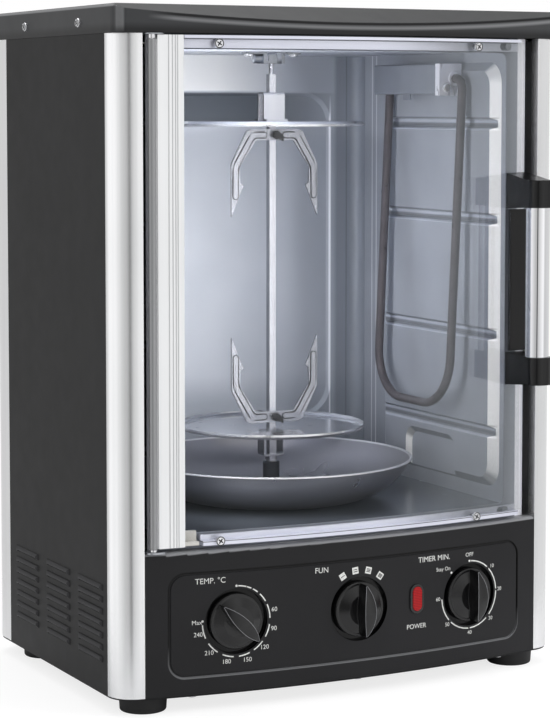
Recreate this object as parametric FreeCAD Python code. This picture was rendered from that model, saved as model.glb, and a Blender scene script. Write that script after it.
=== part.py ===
"""Vertical doner grill: a tall countertop oven with a turning spit, a bowed glass door and three knobs.

Millimetres. +X is to the right, +Y to the back, +Z up, as seen by someone who stands in front of it.
Every shape is worked out about the spit's axis, with z = 0 on the table. On export it is moved along Y,
so that the origin is the middle of the whole outline on the table.
"""
import FreeCAD
import Part
import math
import os

V = FreeCAD.Vector

# Overall size
total_height = 500.0
foot_height = 12.0
body_width = 366.0
body_depth = 246.0
front_bow = 14.5            # how far the middle of the front stands before its ends
post_radius = 20.0          # outer radius of the rounded corner posts
rear_flat = 15.5            # flat stretch of the rear posts along the sides
cap_height = 20.5
cap_corner = 10.0           # outer corner radius of the top cap
base_thick = 1.2
base_flange_inset = 30.0
base_flange_height = 16.0
sheet = 0.8                 # steel sheet of the panels and of the liner
post_wall = 1.4
post_lip = 9.0              # width of the posts' inner returns
panel_fold = 8.0            # folded edges of the side panels
fold_margin = 12.0
seat_gap = 0.2              # clearance where one fixed piece meets another
push_gap = 0.03             # radial clearance where a piece is pushed into its socket

# Faces of the casing, worked out from its size
side = body_width / 2
front = -body_depth / 2
back = body_depth / 2
base_bottom = foot_height
base_top = base_bottom + base_thick
cap_bottom = total_height - cap_height
bow_half = side - post_radius
bow_radius = (bow_half ** 2 + front_bow ** 2) / (2 * front_bow)
bow_centre = front - front_bow + bow_radius

# Top cap
cap_wall = 3.0
crease_drop = 11.5          # depth of the crease below the top, in the middle of the front
crease_slope = 27.5         # slope of the facet above the crease, in degrees
cap_edge_round = 3.0

# Control panel
panel_height = 102.8
panel_wall = 2.5
panel_depth = 13.0          # how far its sides reach back from the ends of the bow
panel_edge_round = 3.0
line_side_margin = 17.0     # rounded frame line pressed into the panel's face
line_low_margin = 12.3
line_high_margin = 15.5
line_corner = 12.0
line_width = 1.6
line_depth = 0.8
panel_top = base_top + panel_height
line_half_width = bow_half - line_side_margin
line_low = base_top + line_low_margin
line_high = panel_top - line_high_margin

# Knobs and the controls behind them
knob_rise = 50.4            # height of the three knob axes above the panel's lower edge
knob_mid_x = 1.5
knob_pitch = 97.5
knob_radius = 20.0
knob_skirt = 4.0
knob_reach = 17.5           # how far a knob stands before the panel
knob_grip = 9.0             # widest part of its lens-shaped grip
knob_bore_depth = 11.0
recess_radius = 23.5
recess_depth = 4.0
boss_wall = 2.5
shaft_radius = 3.0
shaft_play = 0.05           # radial running clearance of the control shafts
neck_radius = 4.5
shaft_in_switch = 12.0
switch_gap = 0.3
switch_corner = 3.0
tag_length = 7.0
thermostat_size = (32.0, 34.0, 22.0)    # width, height and depth
function_switch_size = (34.0, 30.0, 24.0)
timer_size = (46.0, 48.0, 26.0)
temp_rest = 135.0           # degrees that the temperature knob is turned clockwise from its top mark
knob_height = base_top + knob_rise

# Power lamp
lamp_x = 50.7
lamp_rise = 52.8
lamp_width = 12.0
lamp_length = 22.0
lamp_proud = 1.2
lamp_rim = 1.8              # width of the black surround
lamp_step = 1.0             # how far the surround covers the edge of the panel's slot
lamp_depth = 19.0
lens_depth = 2.4
lens_gap = 0.05
lamp_z = base_top + lamp_rise

# Oven cavity
cavity_side_room = 42.0     # from each side wall to the casing's side
cavity_back_room = 11.0
cavity_floor_rise = 10.0    # height of the floor above the control panel
cavity_top_room = 9.5       # from the ceiling to the top cap
cavity_corner = 10.0
liner_flange = 10.0
cavity_half = side - cavity_side_room
cavity_back = back - cavity_back_room
cavity_floor = panel_top + cavity_floor_rise
cavity_top = cap_bottom - cavity_top_room

# Pressed fields of its walls
press_height = 5.0          # how far the side walls' field stands into the cavity
press_bevel = 9.0
press_front_margin = 16.0
press_back_margin = 46.0
press_low_margin = 11.0
press_high_margin = 8.0
press_corner = 16.0
low_grooves = (54.0, 128.8)     # heights of two grooves above the floor
high_grooves = (127.4, 54.6)    # depths of two more below the ceiling
groove_width = 8.4
groove_depth = 3.6
window_front = -52.0        # lower recess in the side walls' field
window_back = 25.0
window_rise = 45.0
back_press_side = 27.0
back_press_low_margin = 44.0
back_press_high_margin = 30.0
back_press_depth = 3.0
back_press_corner = 26.0
press_front = front + press_front_margin
press_back = cavity_back - press_back_margin
press_low = cavity_floor + press_low_margin
press_high = cavity_top - press_high_margin
window_high = cavity_floor + window_rise
back_press_half = cavity_half - back_press_side
back_press_low = cavity_floor + back_press_low_margin
back_press_high = cavity_top - back_press_high_margin

# Frame round the cavity's mouth
frame_inset = 9.5           # depth of its front face behind the bowed front
frame_thick = 1.0
frame_side_room = 26.0      # from its edge to the casing's side
mouth_side_lip = 2.5        # how far it covers the cavity's edge at the sides
mouth_low_lip = 1.5
mouth_high_lip = 1.4
mouth_corner = 6.0
frame_half = side - frame_side_room
mouth_half = cavity_half - mouth_side_lip
mouth_low = cavity_floor + mouth_low_lip
mouth_high = cavity_top - mouth_high_lip

# Door
glass_thick = 4.0
glass_left_room = 34.0      # from the pane's edges to the casing's sides
glass_right_room = 27.0
glass_low_gap = 7.0         # from its lower edge to the control panel
glass_high_gap = 3.5        # from its upper edge to the top cap
rail_back = 2.4             # wall of the door rails behind the glass
rail_lip = 0.8              # how far their lip stands before the glass
rail_gap = 0.1
rail_end_room = 10.5        # from the rails' right end to the pane's edge
top_rail_gap = 1.2          # from the top rail to the top cap
top_rail_height = 8.8
top_rail_start = 0.6        # from the stile to the top rail's left end
bottom_rail_gap = 3.5
bottom_rail_height = 7.0
bottom_rail_start = 13.4
rail_screw_in = 25.9        # from the stile to the left screws' line
rail_screw_end = 41.5       # from the rails' right end to the right screws' line
stile_room = 29.4
stile_width = 19.2
stile_proud = 1.2           # how far its face stands before the glass
stile_skew = 1.8            # how far its left edge lies behind its right edge
stile_wall = 1.2            # thinnest wall behind the glass
stile_groove_radius = 0.45
stile_grooves = (8.0, 10.8, 13.0, 14.6)     # from its left edge
catch_in = 9.3
catch_radius = 2.7
catch_slot_radius = 2.9
catch_slot_length = 8.2
glass_left = glass_left_room - side
glass_right = side - glass_right_room
glass_low = panel_top + glass_low_gap
glass_high = cap_bottom - glass_high_gap
stile_left = stile_room - side
stile_right = stile_left + stile_width
top_rail_high = cap_bottom - top_rail_gap
top_rail_low = top_rail_high - top_rail_height
top_rail_left = stile_right + top_rail_start
bottom_rail_low = panel_top + bottom_rail_gap
bottom_rail_high = bottom_rail_low + bottom_rail_height
bottom_rail_left = stile_right + bottom_rail_start
rail_right = glass_right - rail_end_room
stile_low = bottom_rail_low
stile_high = top_rail_high

# Door hinge
hinge_out = 3.4             # from the stile's edge to the hinge line
hinge_forward = 2.0         # from the ends of the bow to the hinge line
barrel_radius = 2.8
barrel_gap = 4.0            # from the barrel's upper end to the top cap, where the pin shows
pin_radius = 1.5
pin_play = 0.05
pin_engage = 9.0
pin_collar = 2.6
hinge_plate = 1.4
hinge_plate_top = 0.8
hinge_gap = 0.4
hinge_plate_round = 3.9
hinge_plate_left = 5.0      # from the hinge line to its plate's edges
hinge_plate_right = 9.0
hinge_plate_front = 4.0
hinge_x = stile_left - hinge_out
hinge_y = front - hinge_forward

# Handle
handle_side_room = 14.0     # from its axis to the pane's right edge
handle_stand = 32.5         # from the ends of the bow to the tube's axis
handle_drop = 1.0           # how far its middle lies below the glass's middle
handle_span = 152.0
handle_tube_radius = 9.0
handle_tube_wall = 1.2
handle_width = 19.6
handle_block = 20.5         # height of a bracket's front block
handle_rise = 6.0           # how much further a bracket reaches at the glass, on its outer side
handle_flare = 2.0          # and on its inner side
handle_front_round = 10.8
handle_socket = 7.0
handle_plate_width = 15.0
handle_plate_thick = 3.0
handle_x = glass_right - handle_side_room
handle_y = front - handle_stand
handle_low = (glass_low + glass_high) / 2 - handle_drop - handle_span / 2
handle_high = handle_low + handle_span

# Spit
rod_side = 5.5
rod_tip_rise = 21.5         # height of the rod's lower end above the cavity's floor
shoulder_room = 16.7        # from the rod's shoulder to the ceiling
neck_room = 7.0
spit_neck_radius = 1.75
rod_play = 0.1              # clearance each side where the square rod passes a hole
collar_radius = 4.6
collar_height = 3.0
disc_radius = 72.5
disc_rim = 3.6
disc_thick = 1.0
disc_rim_round = 2.0
disc_bore = 4.2
disc_gap = 0.05             # between a disc and its bracket
upper_disc_room = 52.6      # from the upper disc's top to the ceiling
lower_disc_rise = 57.8      # height of the tray's rim above the floor
strap_thick = 1.5
strap_wide = 18.0
strap_narrow = 11.0
strap_height = 22.0
strap_foot = 5.0
rod_tip = cavity_floor + rod_tip_rise
rod_shoulder = cavity_top - shoulder_room
neck_top = cavity_top - neck_room
upper_disc_top = cavity_top - upper_disc_room
lower_disc_rim = cavity_floor + lower_disc_rise

# Forks
fork_thick = 1.6
fork_front = -6.2           # front face of the fork's plate
fork_web = 8.4
fork_prong = 7.0
fork_shoulder = 22.0        # half width of the straight web
fork_spread = 33.6          # half spread of the prongs' middle line below the bend
fork_bend = 23.5            # distance along the rod from the web to the bend
fork_length = 62.5          # distance along the rod from the web's middle to the tips
fork_tip = 14.5             # length of the sharpened end
barb_out = 3.2
emboss_width = 3.8
emboss_height = 0.5
hub_half = 8.0
hub_flange = 1.2
upper_fork_drop = 10.4      # from the upper disc's top to the upper fork's screw
lower_fork_rise = 5.2       # from the tray's rim to the lower fork's screw
screw_boss = 3.3
boss_length = 2.4
thumb_reach = 7.2           # from the screw's axis to the tip of its blade
thumb_width = 5.2
thumb_thick = 2.6
thumb_turn = 36.0           # degrees that the blade points below the horizontal
upper_fork_z = upper_disc_top - upper_fork_drop
lower_fork_z = lower_disc_rim + lower_fork_rise

# Top hook
hook_height = 8.5
hook_web = 2.0
hook_half = 9.2
hook_leg = 2.8
hook_depth = 11.0
hook_slot = 4.0
hook_ear = 14.0
hook_ear_thick = 1.4
hook_stud_radius = 3.8
hook_stud_length = 6.4
hook_top = cavity_top - seat_gap / 2
hook_bottom = hook_top - hook_height

# Drive
socket_radius = 6.5
socket_rise = 11.0          # height of the socket's underside above the floor
socket_height = 16.8
socket_hole = 7.5
drive_radius = 3.5
drive_play = 0.05
drive_drop = 25.0           # how far the shaft reaches below the floor
floor_hole = 5.0
motor_radius = 24.5
motor_drop = 9.6            # from the floor to the motor's top
motor_height = 20.4
motor_boss_radius = 7.0
motor_ear_x = 31.0
motor_ear_thick = 2.0
bracket_plate = 1.2
bracket_half = 46.0
bracket_depth = 44.0
socket_low = cavity_floor + socket_rise
socket_top = socket_low + socket_height
drive_end = cavity_floor - drive_drop
motor_high = cavity_floor - motor_drop
motor_low = motor_high - motor_height

# Drip pan
pan_rim_radius = 109.0
pan_height = 31.7
pan_foot_radius = 60.0
pan_sheet = 1.0
pan_bead = 0.9              # radius of the turned edge
pan_hole = 14.0
pan_collar_height = 10.7
pan_gap = 0.3
pan_low = cavity_floor + pan_gap
pan_rim_z = pan_low + pan_height
pan_collar_z = pan_low + pan_collar_height

# Heating element
element_radius = 3.4
element_front = -70.0
element_back = 40.0
element_low_rise = 70.0     # height of its lower run above the floor
element_top_room = 20.0
element_wall_gap = 11.6     # from its top to the side wall
element_lean = 2.6          # degrees by which its plane leans into the cavity
element_bend = 38.0
element_top_bend = 9.0
box_front = -57.0
box_back = 46.0
box_height = 23.5
box_top_room = 8.5
box_reach = 18.0
clip_width = 11.0
clip_drop = 4.5
end_plate_thick = 1.0
end_plate_lip = 5.0
ferrule_radius = 5.4
ferrule_reach = 2.2
element_low = cavity_floor + element_low_rise
element_high = cavity_top - element_top_room
element_top_x = cavity_half - element_wall_gap
box_high = cavity_top - box_top_room
box_low = box_high - box_height

# Screws
screw_head_radius = 3.4
screw_head = 2.0
screw_shank_radius = 1.7
screw_length = 8.0
screw_hole_radius = 1.85
rail_screw_head = 1.6
cap_screw_rise = 8.5
cap_screw_ys = (46.0, -57.0)
base_screw_xs = (-126.0, 4.0, 132.0)
base_screw_inset = 7.5      # from the panel's face to the screws under its edge
side_screw_inset = 7.0
back_screw_side = 33.0
back_screw_low = 24.0
back_screw_high = 15.5

# Louvres and vents
louvre_length = 45.0
louvre_height = 4.6
louvre_proud = 1.7
louvre_rows = 7
louvre_rise = 25.5
louvre_pitch = 8.6
louvre_columns = (50.5, -11.5, -72.5)
louvre_skin = 0.6
vent_length = 32.0
vent_height = 3.2
vent_rows = 6
vent_pitch = 8.0
vent_x = 70.0
vent_low_rise = 46.8
vent_high_drop = 79.5

# Feet and inlet
foot_radius = 17.5
foot_side_room = 28.0
foot_front_room = 22.0
foot_back_room = 38.0
foot_recess = 4.0
inlet_side_room = 65.0
inlet_rise = 34.8
inlet_reach = 10.5
inlet_radius = 10.0
cord_hole = 3.6
foot_x = side - foot_side_room
foot_front_y = front + foot_front_room
foot_back_y = back - foot_back_room
inlet_x = side - inlet_side_room
inlet_z = base_top + inlet_rise

# Middle of the whole outline, from the handle's front to the end of the inlet
handle_front = handle_y - handle_front_round
origin_shift = (-handle_front - (back + inlet_reach)) / 2


def box(x0, x1, y0, y1, z0, z1):
    return Part.makeBox(x1 - x0, y1 - y0, z1 - z0, V(x0, y0, z0))


def rod(radius, start, end):
    """A round bar from one point to another."""
    axis = end.sub(start)
    return Part.makeCylinder(radius, axis.Length, start, axis)


def prism(points, along):
    """A straight-sided outline, carried along a vector."""
    return Part.Face(Part.makePolygon(points + points[:1])).extrude(along)


def turned(points):
    """A profile of (radius, height) points, turned round the spit's axis."""
    wire = Part.makePolygon([V(r, 0, z) for r, z in points + points[:1]])
    return Part.Face(wire).revolve(V(0, 0, 0), V(0, 0, 1), 360)


def fused(shapes):
    first = shapes[0]
    return first.multiFuse(shapes[1:]).removeSplitter() if len(shapes) > 1 else first


def on_table(height):
    return lambda u, v: V(u, v, height)


def on_front(y):
    return lambda u, v: V(u, y, v)


def on_side(x):
    return lambda u, v: V(x, u, v)


def rounded_wire(u0, u1, v0, v1, radius, place):
    """A rectangle with rounded corners, drawn on the plane that `place` gives."""
    k = radius * (1 - math.sqrt(0.5))
    corners = [
        ((u1 - radius, v0), (u1 - k, v0 + k), (u1, v0 + radius)),
        ((u1, v1 - radius), (u1 - k, v1 - k), (u1 - radius, v1)),
        ((u0 + radius, v1), (u0 + k, v1 - k), (u0, v1 - radius)),
        ((u0, v0 + radius), (u0 + k, v0 + k), (u0 + radius, v0)),
    ]
    edges = []
    for i, (a, b, c) in enumerate(corners):
        edges.append(Part.Arc(place(*a), place(*b), place(*c)).toShape())
        start = corners[(i + 1) % 4][0]
        edges.append(Part.makeLine(place(*c), place(*start)))
    return Part.Wire(edges)


def rounded_prism(u0, u1, v0, v1, radius, place, along):
    return Part.Face(rounded_wire(u0, u1, v0, v1, radius, place)).extrude(along)


def bow_y(x, inset):
    """Y of the bowed front at x, `inset` behind its surface."""
    return bow_centre - math.sqrt((bow_radius - inset) ** 2 - x ** 2)


def bowed_slab(x0, x1, outer, inner, z0, z1):
    """A slab between two arcs that lie `outer` and `inner` behind the bowed front."""
    mid = (x0 + x1) / 2
    near = Part.Arc(*[V(x, bow_y(x, outer), z0) for x in (x0, mid, x1)]).toShape()
    far = Part.Arc(*[V(x, bow_y(x, inner), z0) for x in (x1, mid, x0)]).toShape()
    right = Part.makeLine(V(x1, bow_y(x1, outer), z0), V(x1, bow_y(x1, inner), z0))
    left = Part.makeLine(V(x0, bow_y(x0, inner), z0), V(x0, bow_y(x0, outer), z0))
    return Part.Face(Part.Wire([near, right, far, left])).extrude(V(0, 0, z1 - z0))


def mirrored(shape):
    """The same piece on the other side of the oven."""
    return shape.mirror(V(0, 0, 0), V(1, 0, 0))


def on_panel(shape, x, z):
    """Puts a piece made about the Y axis, with y = 0 on the panel's face, square to the bow at x."""
    placed = shape.copy()
    placed.rotate(V(0, 0, 0), V(0, 0, 1), math.degrees(math.asin(x / bow_radius)))
    placed.translate(V(x, bow_y(x, 0), z))
    return placed


def screw(point, out):
    """A pan-head screw whose head sits on `point` and looks along `out`."""
    head = Part.makeCylinder(screw_head_radius, screw_head, V(0, 0, 0), V(0, 0, 1))
    head = head.makeFillet(screw_head * 0.6, [e for e in head.Edges if e.BoundBox.ZMin > screw_head / 2])
    shank = Part.makeCylinder(screw_shank_radius, screw_length, V(0, 0, -screw_length), V(0, 0, 1))
    piece = head.fuse(shank)
    piece.Placement = FreeCAD.Placement(point, FreeCAD.Rotation(V(0, 0, 1), out))
    return piece


def knob_xs():
    return [knob_mid_x - knob_pitch, knob_mid_x, knob_mid_x + knob_pitch]


# Casing

def outline(inset, z, corner):
    """The oven's plan: rounded corners, straight sides and back, and the bowed front."""
    x = side - inset
    y0 = front + inset
    y1 = back - inset
    r = corner
    k = r * (1 - math.sqrt(0.5))
    edges = [
        Part.Arc(V(-x + r, y0, z), V(0, y0 - front_bow, z), V(x - r, y0, z)).toShape(),
        Part.Arc(V(x - r, y0, z), V(x - k, y0 + k, z), V(x, y0 + r, z)).toShape(),
        Part.makeLine(V(x, y0 + r, z), V(x, y1 - r, z)),
        Part.Arc(V(x, y1 - r, z), V(x - k, y1 - k, z), V(x - r, y1, z)).toShape(),
        Part.makeLine(V(x - r, y1, z), V(-x + r, y1, z)),
        Part.Arc(V(-x + r, y1, z), V(-x + k, y1 - k, z), V(-x, y1 - r, z)).toShape(),
        Part.makeLine(V(-x, y1 - r, z), V(-x, y0 + r, z)),
        Part.Arc(V(-x, y0 + r, z), V(-x + k, y0 + k, z), V(-x + r, y0, z)).toShape(),
    ]
    return Part.Face(Part.Wire(edges))


def above_facet(drop):
    """All that lies above the cap's sloping front facet, lowered by `drop`."""
    reach = 60.0
    rise = reach * math.tan(math.radians(crease_slope))
    y0 = front - front_bow
    z0 = total_height - crease_drop - drop
    points = [V(-side, y0, z0), V(-side, y0 + reach, z0 + rise), V(-side, y0 - reach, z0 + rise),
              V(-side, y0 - reach, z0 - rise)]
    return prism(points, V(body_width, 0, 0))


def top_cap():
    """Moulded cap: a facet slopes back from the curved crease on its bowed front."""
    outer = outline(0, cap_bottom, cap_corner).extrude(V(0, 0, cap_height))
    outer = outer.cut(above_facet(0))
    top = [e for e in outer.Edges if e.BoundBox.ZMin > total_height - 0.01]
    outer = outer.makeFillet(cap_edge_round, top)
    inner_corner = cap_corner - cap_wall
    inner = outline(cap_wall, cap_bottom, inner_corner).extrude(V(0, 0, cap_height - cap_wall))
    inner = inner.cut(above_facet(cap_wall + 0.5))
    return outer.cut(inner).cut(holes_for(case_screw_places()))


def base_plate():
    """Bottom tray with an upturned flange, vents under the controls and holes for the feet."""
    plate = outline(seat_gap * 2, base_bottom, post_radius).extrude(V(0, 0, base_thick))
    inset = base_flange_inset
    tall = V(0, 0, base_flange_height)
    rim = outline(inset, base_bottom, cap_corner).extrude(tall)
    rim = rim.cut(outline(inset + base_thick, base_bottom, cap_corner).extrude(tall))
    slots = [box(x - 14, x + 14, y - 1.6, y + 1.6, base_bottom - 1, base_top + 1)
             for x in (-60, 0, 60) for y in (-60, -48, -36)]
    return plate.fuse(rim).cut(Part.makeCompound(slots)).cut(holes_for(case_screw_places())).removeSplitter()


def foot_places():
    return [(x, y) for x in (-foot_x, foot_x) for y in (foot_front_y, foot_back_y)]


def rubber_feet():
    """Four tapered feet, each with a recess from below for its screw."""
    feet = []
    for x, y in foot_places():
        foot = Part.makeCone(foot_radius - 0.8, foot_radius, foot_height, V(x, y, 0), V(0, 0, 1))
        foot = foot.makeFillet(1.5, [e for e in foot.Edges if e.BoundBox.ZMax < 0.01])
        foot = foot.cut(rod(5.0, V(x, y, -1), V(x, y, foot_height - foot_recess)))
        feet.append(foot.cut(rod(screw_hole_radius, V(x, y, 0), V(x, y, foot_height + 1))))
    return Part.makeCompound(feet)


def post_profile(flat, z):
    """Section of the front-left post: a quarter round, a flat stretch along the side, and inner returns."""
    r = post_radius
    w = post_wall
    x0 = -side
    y0 = front
    cx = x0 + r
    cy = y0 + r
    k = math.sqrt(0.5)
    lip = post_lip
    outer = Part.Arc(V(x0, cy, z), V(cx - r * k, cy - r * k, z), V(cx, y0, z)).toShape()
    middle = V(cx - w - (r - w) * k + 0.4, cy - (r - w) * k + 0.4, z)
    inner = Part.Arc(V(cx - w, y0 + w, z), middle, V(x0 + w, cy - w, z)).toShape()
    points = [V(cx, y0, z), V(cx, y0 + lip, z), V(cx - w, y0 + lip, z), V(cx - w, y0 + w, z)]
    turn = [Part.makeLine(a, b) for a, b in zip(points, points[1:])]
    end = cy + flat
    points = [V(x0 + w, cy - w, z), V(x0 + w, end - w, z), V(x0 + lip, end - w, z), V(x0 + lip, end, z),
              V(x0, end, z), V(x0, cy, z)]
    tail = [Part.makeLine(a, b) for a, b in zip(points, points[1:]) if a.distanceToPoint(b) > 0.001]
    return Part.Face(Part.Wire([outer] + turn + [inner] + tail))


def corner_post(flat):
    return post_profile(flat, base_top).extrude(V(0, 0, cap_bottom - base_top))


def rear_corner_post():
    """The rear post is the same section turned to the back, with a wider flat stretch."""
    return corner_post(rear_flat).mirror(V(0, 0, 0), V(0, 1, 0))


def louvre(x, y, z):
    """One pressed hood: part of a round bar with slanted ends, open along its lower side."""
    r = (louvre_height ** 2 / 4 + louvre_proud ** 2) / (2 * louvre_proud)
    axis_x = x + r - louvre_proud
    half = louvre_length / 2
    bar = rod(r, V(axis_x, y - half, z), V(axis_x, y + half, z))
    hollow = rod(r - louvre_skin, V(axis_x, y - half, z), V(axis_x, y + half, z))
    taper = louvre_proud * 1.6
    tapered = [V(x, y - half, z - r), V(x - louvre_proud, y - half + taper, z - r),
               V(x - louvre_proud, y + half - taper, z - r), V(x, y + half, z - r)]
    inside = [V(x + sheet, y - half + 2, z - r), V(x - louvre_proud, y - half + taper + 2, z - r),
              V(x - louvre_proud, y + half - taper - 2, z - r), V(x + sheet, y + half - 2, z - r)]
    tall = V(0, 0, 2 * r)
    hood = bar.common(prism(tapered, tall))
    room = hollow.common(prism(inside, tall))
    mouth = box(x - louvre_proud - 1, x, y - half + 3, y + half - 3, z - r, z - louvre_height * 0.22)
    low, high = z - louvre_height * 0.45, z + louvre_height * 0.3
    slit = box(x - 0.1, x + sheet + 0.1, y - half + 3, y + half - 3, low, high)
    return hood, [room, mouth, slit]


def side_panel():
    """Left side sheet with three columns of pressed louvres over the control space."""
    y0 = front + post_radius + seat_gap
    y1 = back - post_radius - rear_flat - seat_gap
    z1 = cap_bottom - seat_gap
    skin = box(-side, -side + sheet, y0, y1, base_top, z1)
    for z in (base_top, z1 - sheet):
        skin = skin.fuse(box(-side, -side + panel_fold, y0 + fold_margin, y1 - fold_margin, z, z + sheet))
    hoods = []
    cuts = []
    for column in louvre_columns:
        for row in range(louvre_rows):
            hood, openings = louvre(-side, column, base_bottom + louvre_rise + row * louvre_pitch)
            hoods.append(hood)
            cuts += openings
    skin = skin.multiFuse(hoods).cut(Part.makeCompound(cuts))
    return skin.cut(holes_for(case_screw_places())).removeSplitter()


def back_panel():
    """Rear sheet with two fields of vent slots and the cord inlet's hole."""
    half = side - post_radius - seat_gap
    skin = box(-half, half, back - sheet, back, base_top, cap_bottom - seat_gap)
    slots = []
    for x in (-vent_x, vent_x):
        for z0 in (base_top + vent_low_rise, cap_bottom - vent_high_drop):
            for row in range(vent_rows):
                z = z0 + row * vent_pitch
                slots.append(rounded_prism(x - vent_length / 2, x + vent_length / 2, z, z + vent_height,
                                           vent_height * 0.49, on_front(back - 2), V(0, 4, 0)))
    hole = rod(inlet_radius - 3 + seat_gap, V(inlet_x, back - 2, inlet_z), V(inlet_x, back + 2, inlet_z))
    return skin.cut(Part.makeCompound(slots + [hole])).cut(holes_for(case_screw_places()))


def cord_inlet():
    """Strain-relief gland that the supply cord would leave by."""
    flange = rod(inlet_radius, V(inlet_x, back + 0.1, inlet_z), V(inlet_x, back + 3.1, inlet_z))
    nose = Part.makeCone(7.0, 5.4, inlet_reach - 3.1, V(inlet_x, back + 3.1, inlet_z), V(0, 1, 0))
    body = rod(inlet_radius - 3, V(inlet_x, back - 8, inlet_z), V(inlet_x, back + 3.1, inlet_z))
    hole = rod(cord_hole, V(inlet_x, back - 9, inlet_z), V(inlet_x, back + inlet_reach + 1, inlet_z))
    return fused([flange, nose, body]).cut(hole)


def case_screw_places():
    """Where each screw's head sits, and which way it looks."""
    down = V(0, 0, -1)
    back_x = side - back_screw_side
    low, high = base_bottom + back_screw_low, cap_bottom - back_screw_high
    ear_x = hook_half + hook_ear - 4.0
    cap_z = cap_bottom + cap_screw_rise
    places = [(V(s * side, y, cap_z), V(s, 0, 0)) for s in (-1, 1) for y in cap_screw_ys]
    places += [(V(x, bow_y(x, base_screw_inset), base_bottom), down) for x in base_screw_xs]
    places += [(V(s * (side - side_screw_inset), -6.0, base_bottom), down) for s in (-1, 1)]
    places += [(V(x, back, z), V(0, 1, 0)) for x in (-back_x, back_x) for z in (low, (low + high) / 2, high)]
    places += [(V(x, y, foot_height - foot_recess), down) for x, y in foot_places()]
    places += [(V(s * ear_x, 0, hook_top - hook_ear_thick), down) for s in (-1, 1)]
    places += [(V(box_inner_x() + 4.2, box_front - end_plate_thick, box_low + 5.0), V(0, -1, 0))]
    places += [(V(s * motor_ear_x, 0, motor_high - motor_ear_thick), down) for s in (-1, 1)]
    return places


def case_screws():
    """The identical screws of the casing, the feet, the top hook, the element's box and the motor."""
    return Part.makeCompound([screw(point, out) for point, out in case_screw_places()])


def holes_for(places):
    """Clearance holes on the shanks of the screws at these places."""
    reach = screw_length + 1.0
    holes = [rod(screw_hole_radius, point + out * 0.05, point - out * reach) for point, out in places]
    return Part.makeCompound(holes)


# Control panel

def panel_line():
    """The rounded frame line, as a band that follows the bow."""
    outer = rounded_prism(-line_half_width, line_half_width, line_low, line_high, line_corner,
                          on_front(front - 40), V(0, 60, 0))
    w = line_width
    inner = rounded_prism(-line_half_width + w, line_half_width - w, line_low + w, line_high - w,
                          line_corner - w, on_front(front - 40), V(0, 60, 0))
    face = bowed_slab(-bow_half + 1, bow_half - 1, -1, line_depth, line_low - 2, line_high + 2)
    return outer.cut(inner).common(face)


def lamp_slot(grow, y0, y1):
    half = lamp_width / 2 + grow
    tall = lamp_length / 2 + grow
    return rounded_prism(-half, half, -tall, tall, half * 0.98, on_front(y0), V(0, y1 - y0, 0))


def control_panel():
    """Bowed moulded panel, open at the back, with a thick boss and a round recess for each knob."""
    x = bow_half - seat_gap
    z0 = base_top
    y1 = front + panel_depth
    shell = bowed_slab(-x, x, 0, front_bow + panel_depth, z0, panel_top)
    shell = shell.cut(box(-side, side, y1, y1 + front_bow + panel_depth, 0, total_height))
    top = [e for e in shell.Edges if e.BoundBox.ZMin > panel_top - 0.01 and e.BoundBox.YMax < front + 0.01]
    shell = shell.makeFillet(panel_edge_round, top)
    w = panel_wall
    room = bowed_slab(-x + w, x - w, w, 60, z0 + w, panel_top - w)
    shell = shell.cut(room)
    bosses = []
    holes = [on_panel(lamp_slot(seat_gap / 2 - lamp_step, -10, 20), lamp_x, lamp_z)]
    depth = recess_depth + boss_wall
    for knob_x in knob_xs():
        boss = rod(recess_radius + boss_wall, V(0, panel_wall * 0.6, 0), V(0, depth, 0))
        recess = rod(recess_radius, V(0, -5, 0), V(0, recess_depth, 0))
        hole = rod(neck_radius + 0.2, V(0, 0, 0), V(0, depth + 1, 0))
        bosses.append(on_panel(boss, knob_x, knob_height))
        holes += [on_panel(recess, knob_x, knob_height), on_panel(hole, knob_x, knob_height)]
    shell = shell.multiFuse(bosses).cut(Part.makeCompound(holes + [panel_line()]))
    return shell.cut(holes_for(case_screw_places())).removeSplitter()


def knob():
    """Round skirt with a lens-shaped grip whose top follows a dome. Made upright about the Y axis."""
    back_face = recess_depth - 1.0
    skirt = Part.makeCylinder(knob_radius, knob_skirt, V(0, back_face, 0), V(0, -1, 0))
    skirt = skirt.makeFillet(1.2, [e for e in skirt.Edges if e.BoundBox.YMax < back_face - knob_skirt + 0.01])
    end = knob_radius - 0.8
    half = knob_grip / 2
    right = Part.Arc(V(0, 0, -end), V(half, 0, 0), V(0, 0, end)).toShape()
    left = Part.Arc(V(0, 0, end), V(-half, 0, 0), V(0, 0, -end)).toShape()
    grip = Part.Face(Part.Wire([right, left])).extrude(V(0, -knob_reach, 0))
    dome_radius = 30.0
    dome = Part.makeSphere(dome_radius, V(0, dome_radius - knob_reach, 0))
    foot_reach = 4.0
    start = V(0, back_face - knob_skirt, 0)
    foot = Part.makeCone(knob_radius - 2.4, knob_radius - 9.0, foot_reach, start, V(0, -1, 0))
    body = fused([skirt, foot, grip.common(dome)])
    bore = rod(shaft_radius + push_gap, V(0, back_face + 1, 0), V(0, back_face - knob_bore_depth, 0))
    return body.cut(bore)


def turned_knob(degrees):
    piece = knob()
    piece.rotate(V(0, 0, 0), V(0, 1, 0), degrees)
    return piece


def control_shaft():
    """From the bottom of the knob's bore to inside the switch."""
    start = recess_depth - 1.0 - knob_bore_depth
    end = recess_depth + boss_wall + switch_gap + shaft_in_switch
    return rod(shaft_radius, V(0, start, 0), V(0, end, 0))


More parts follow.
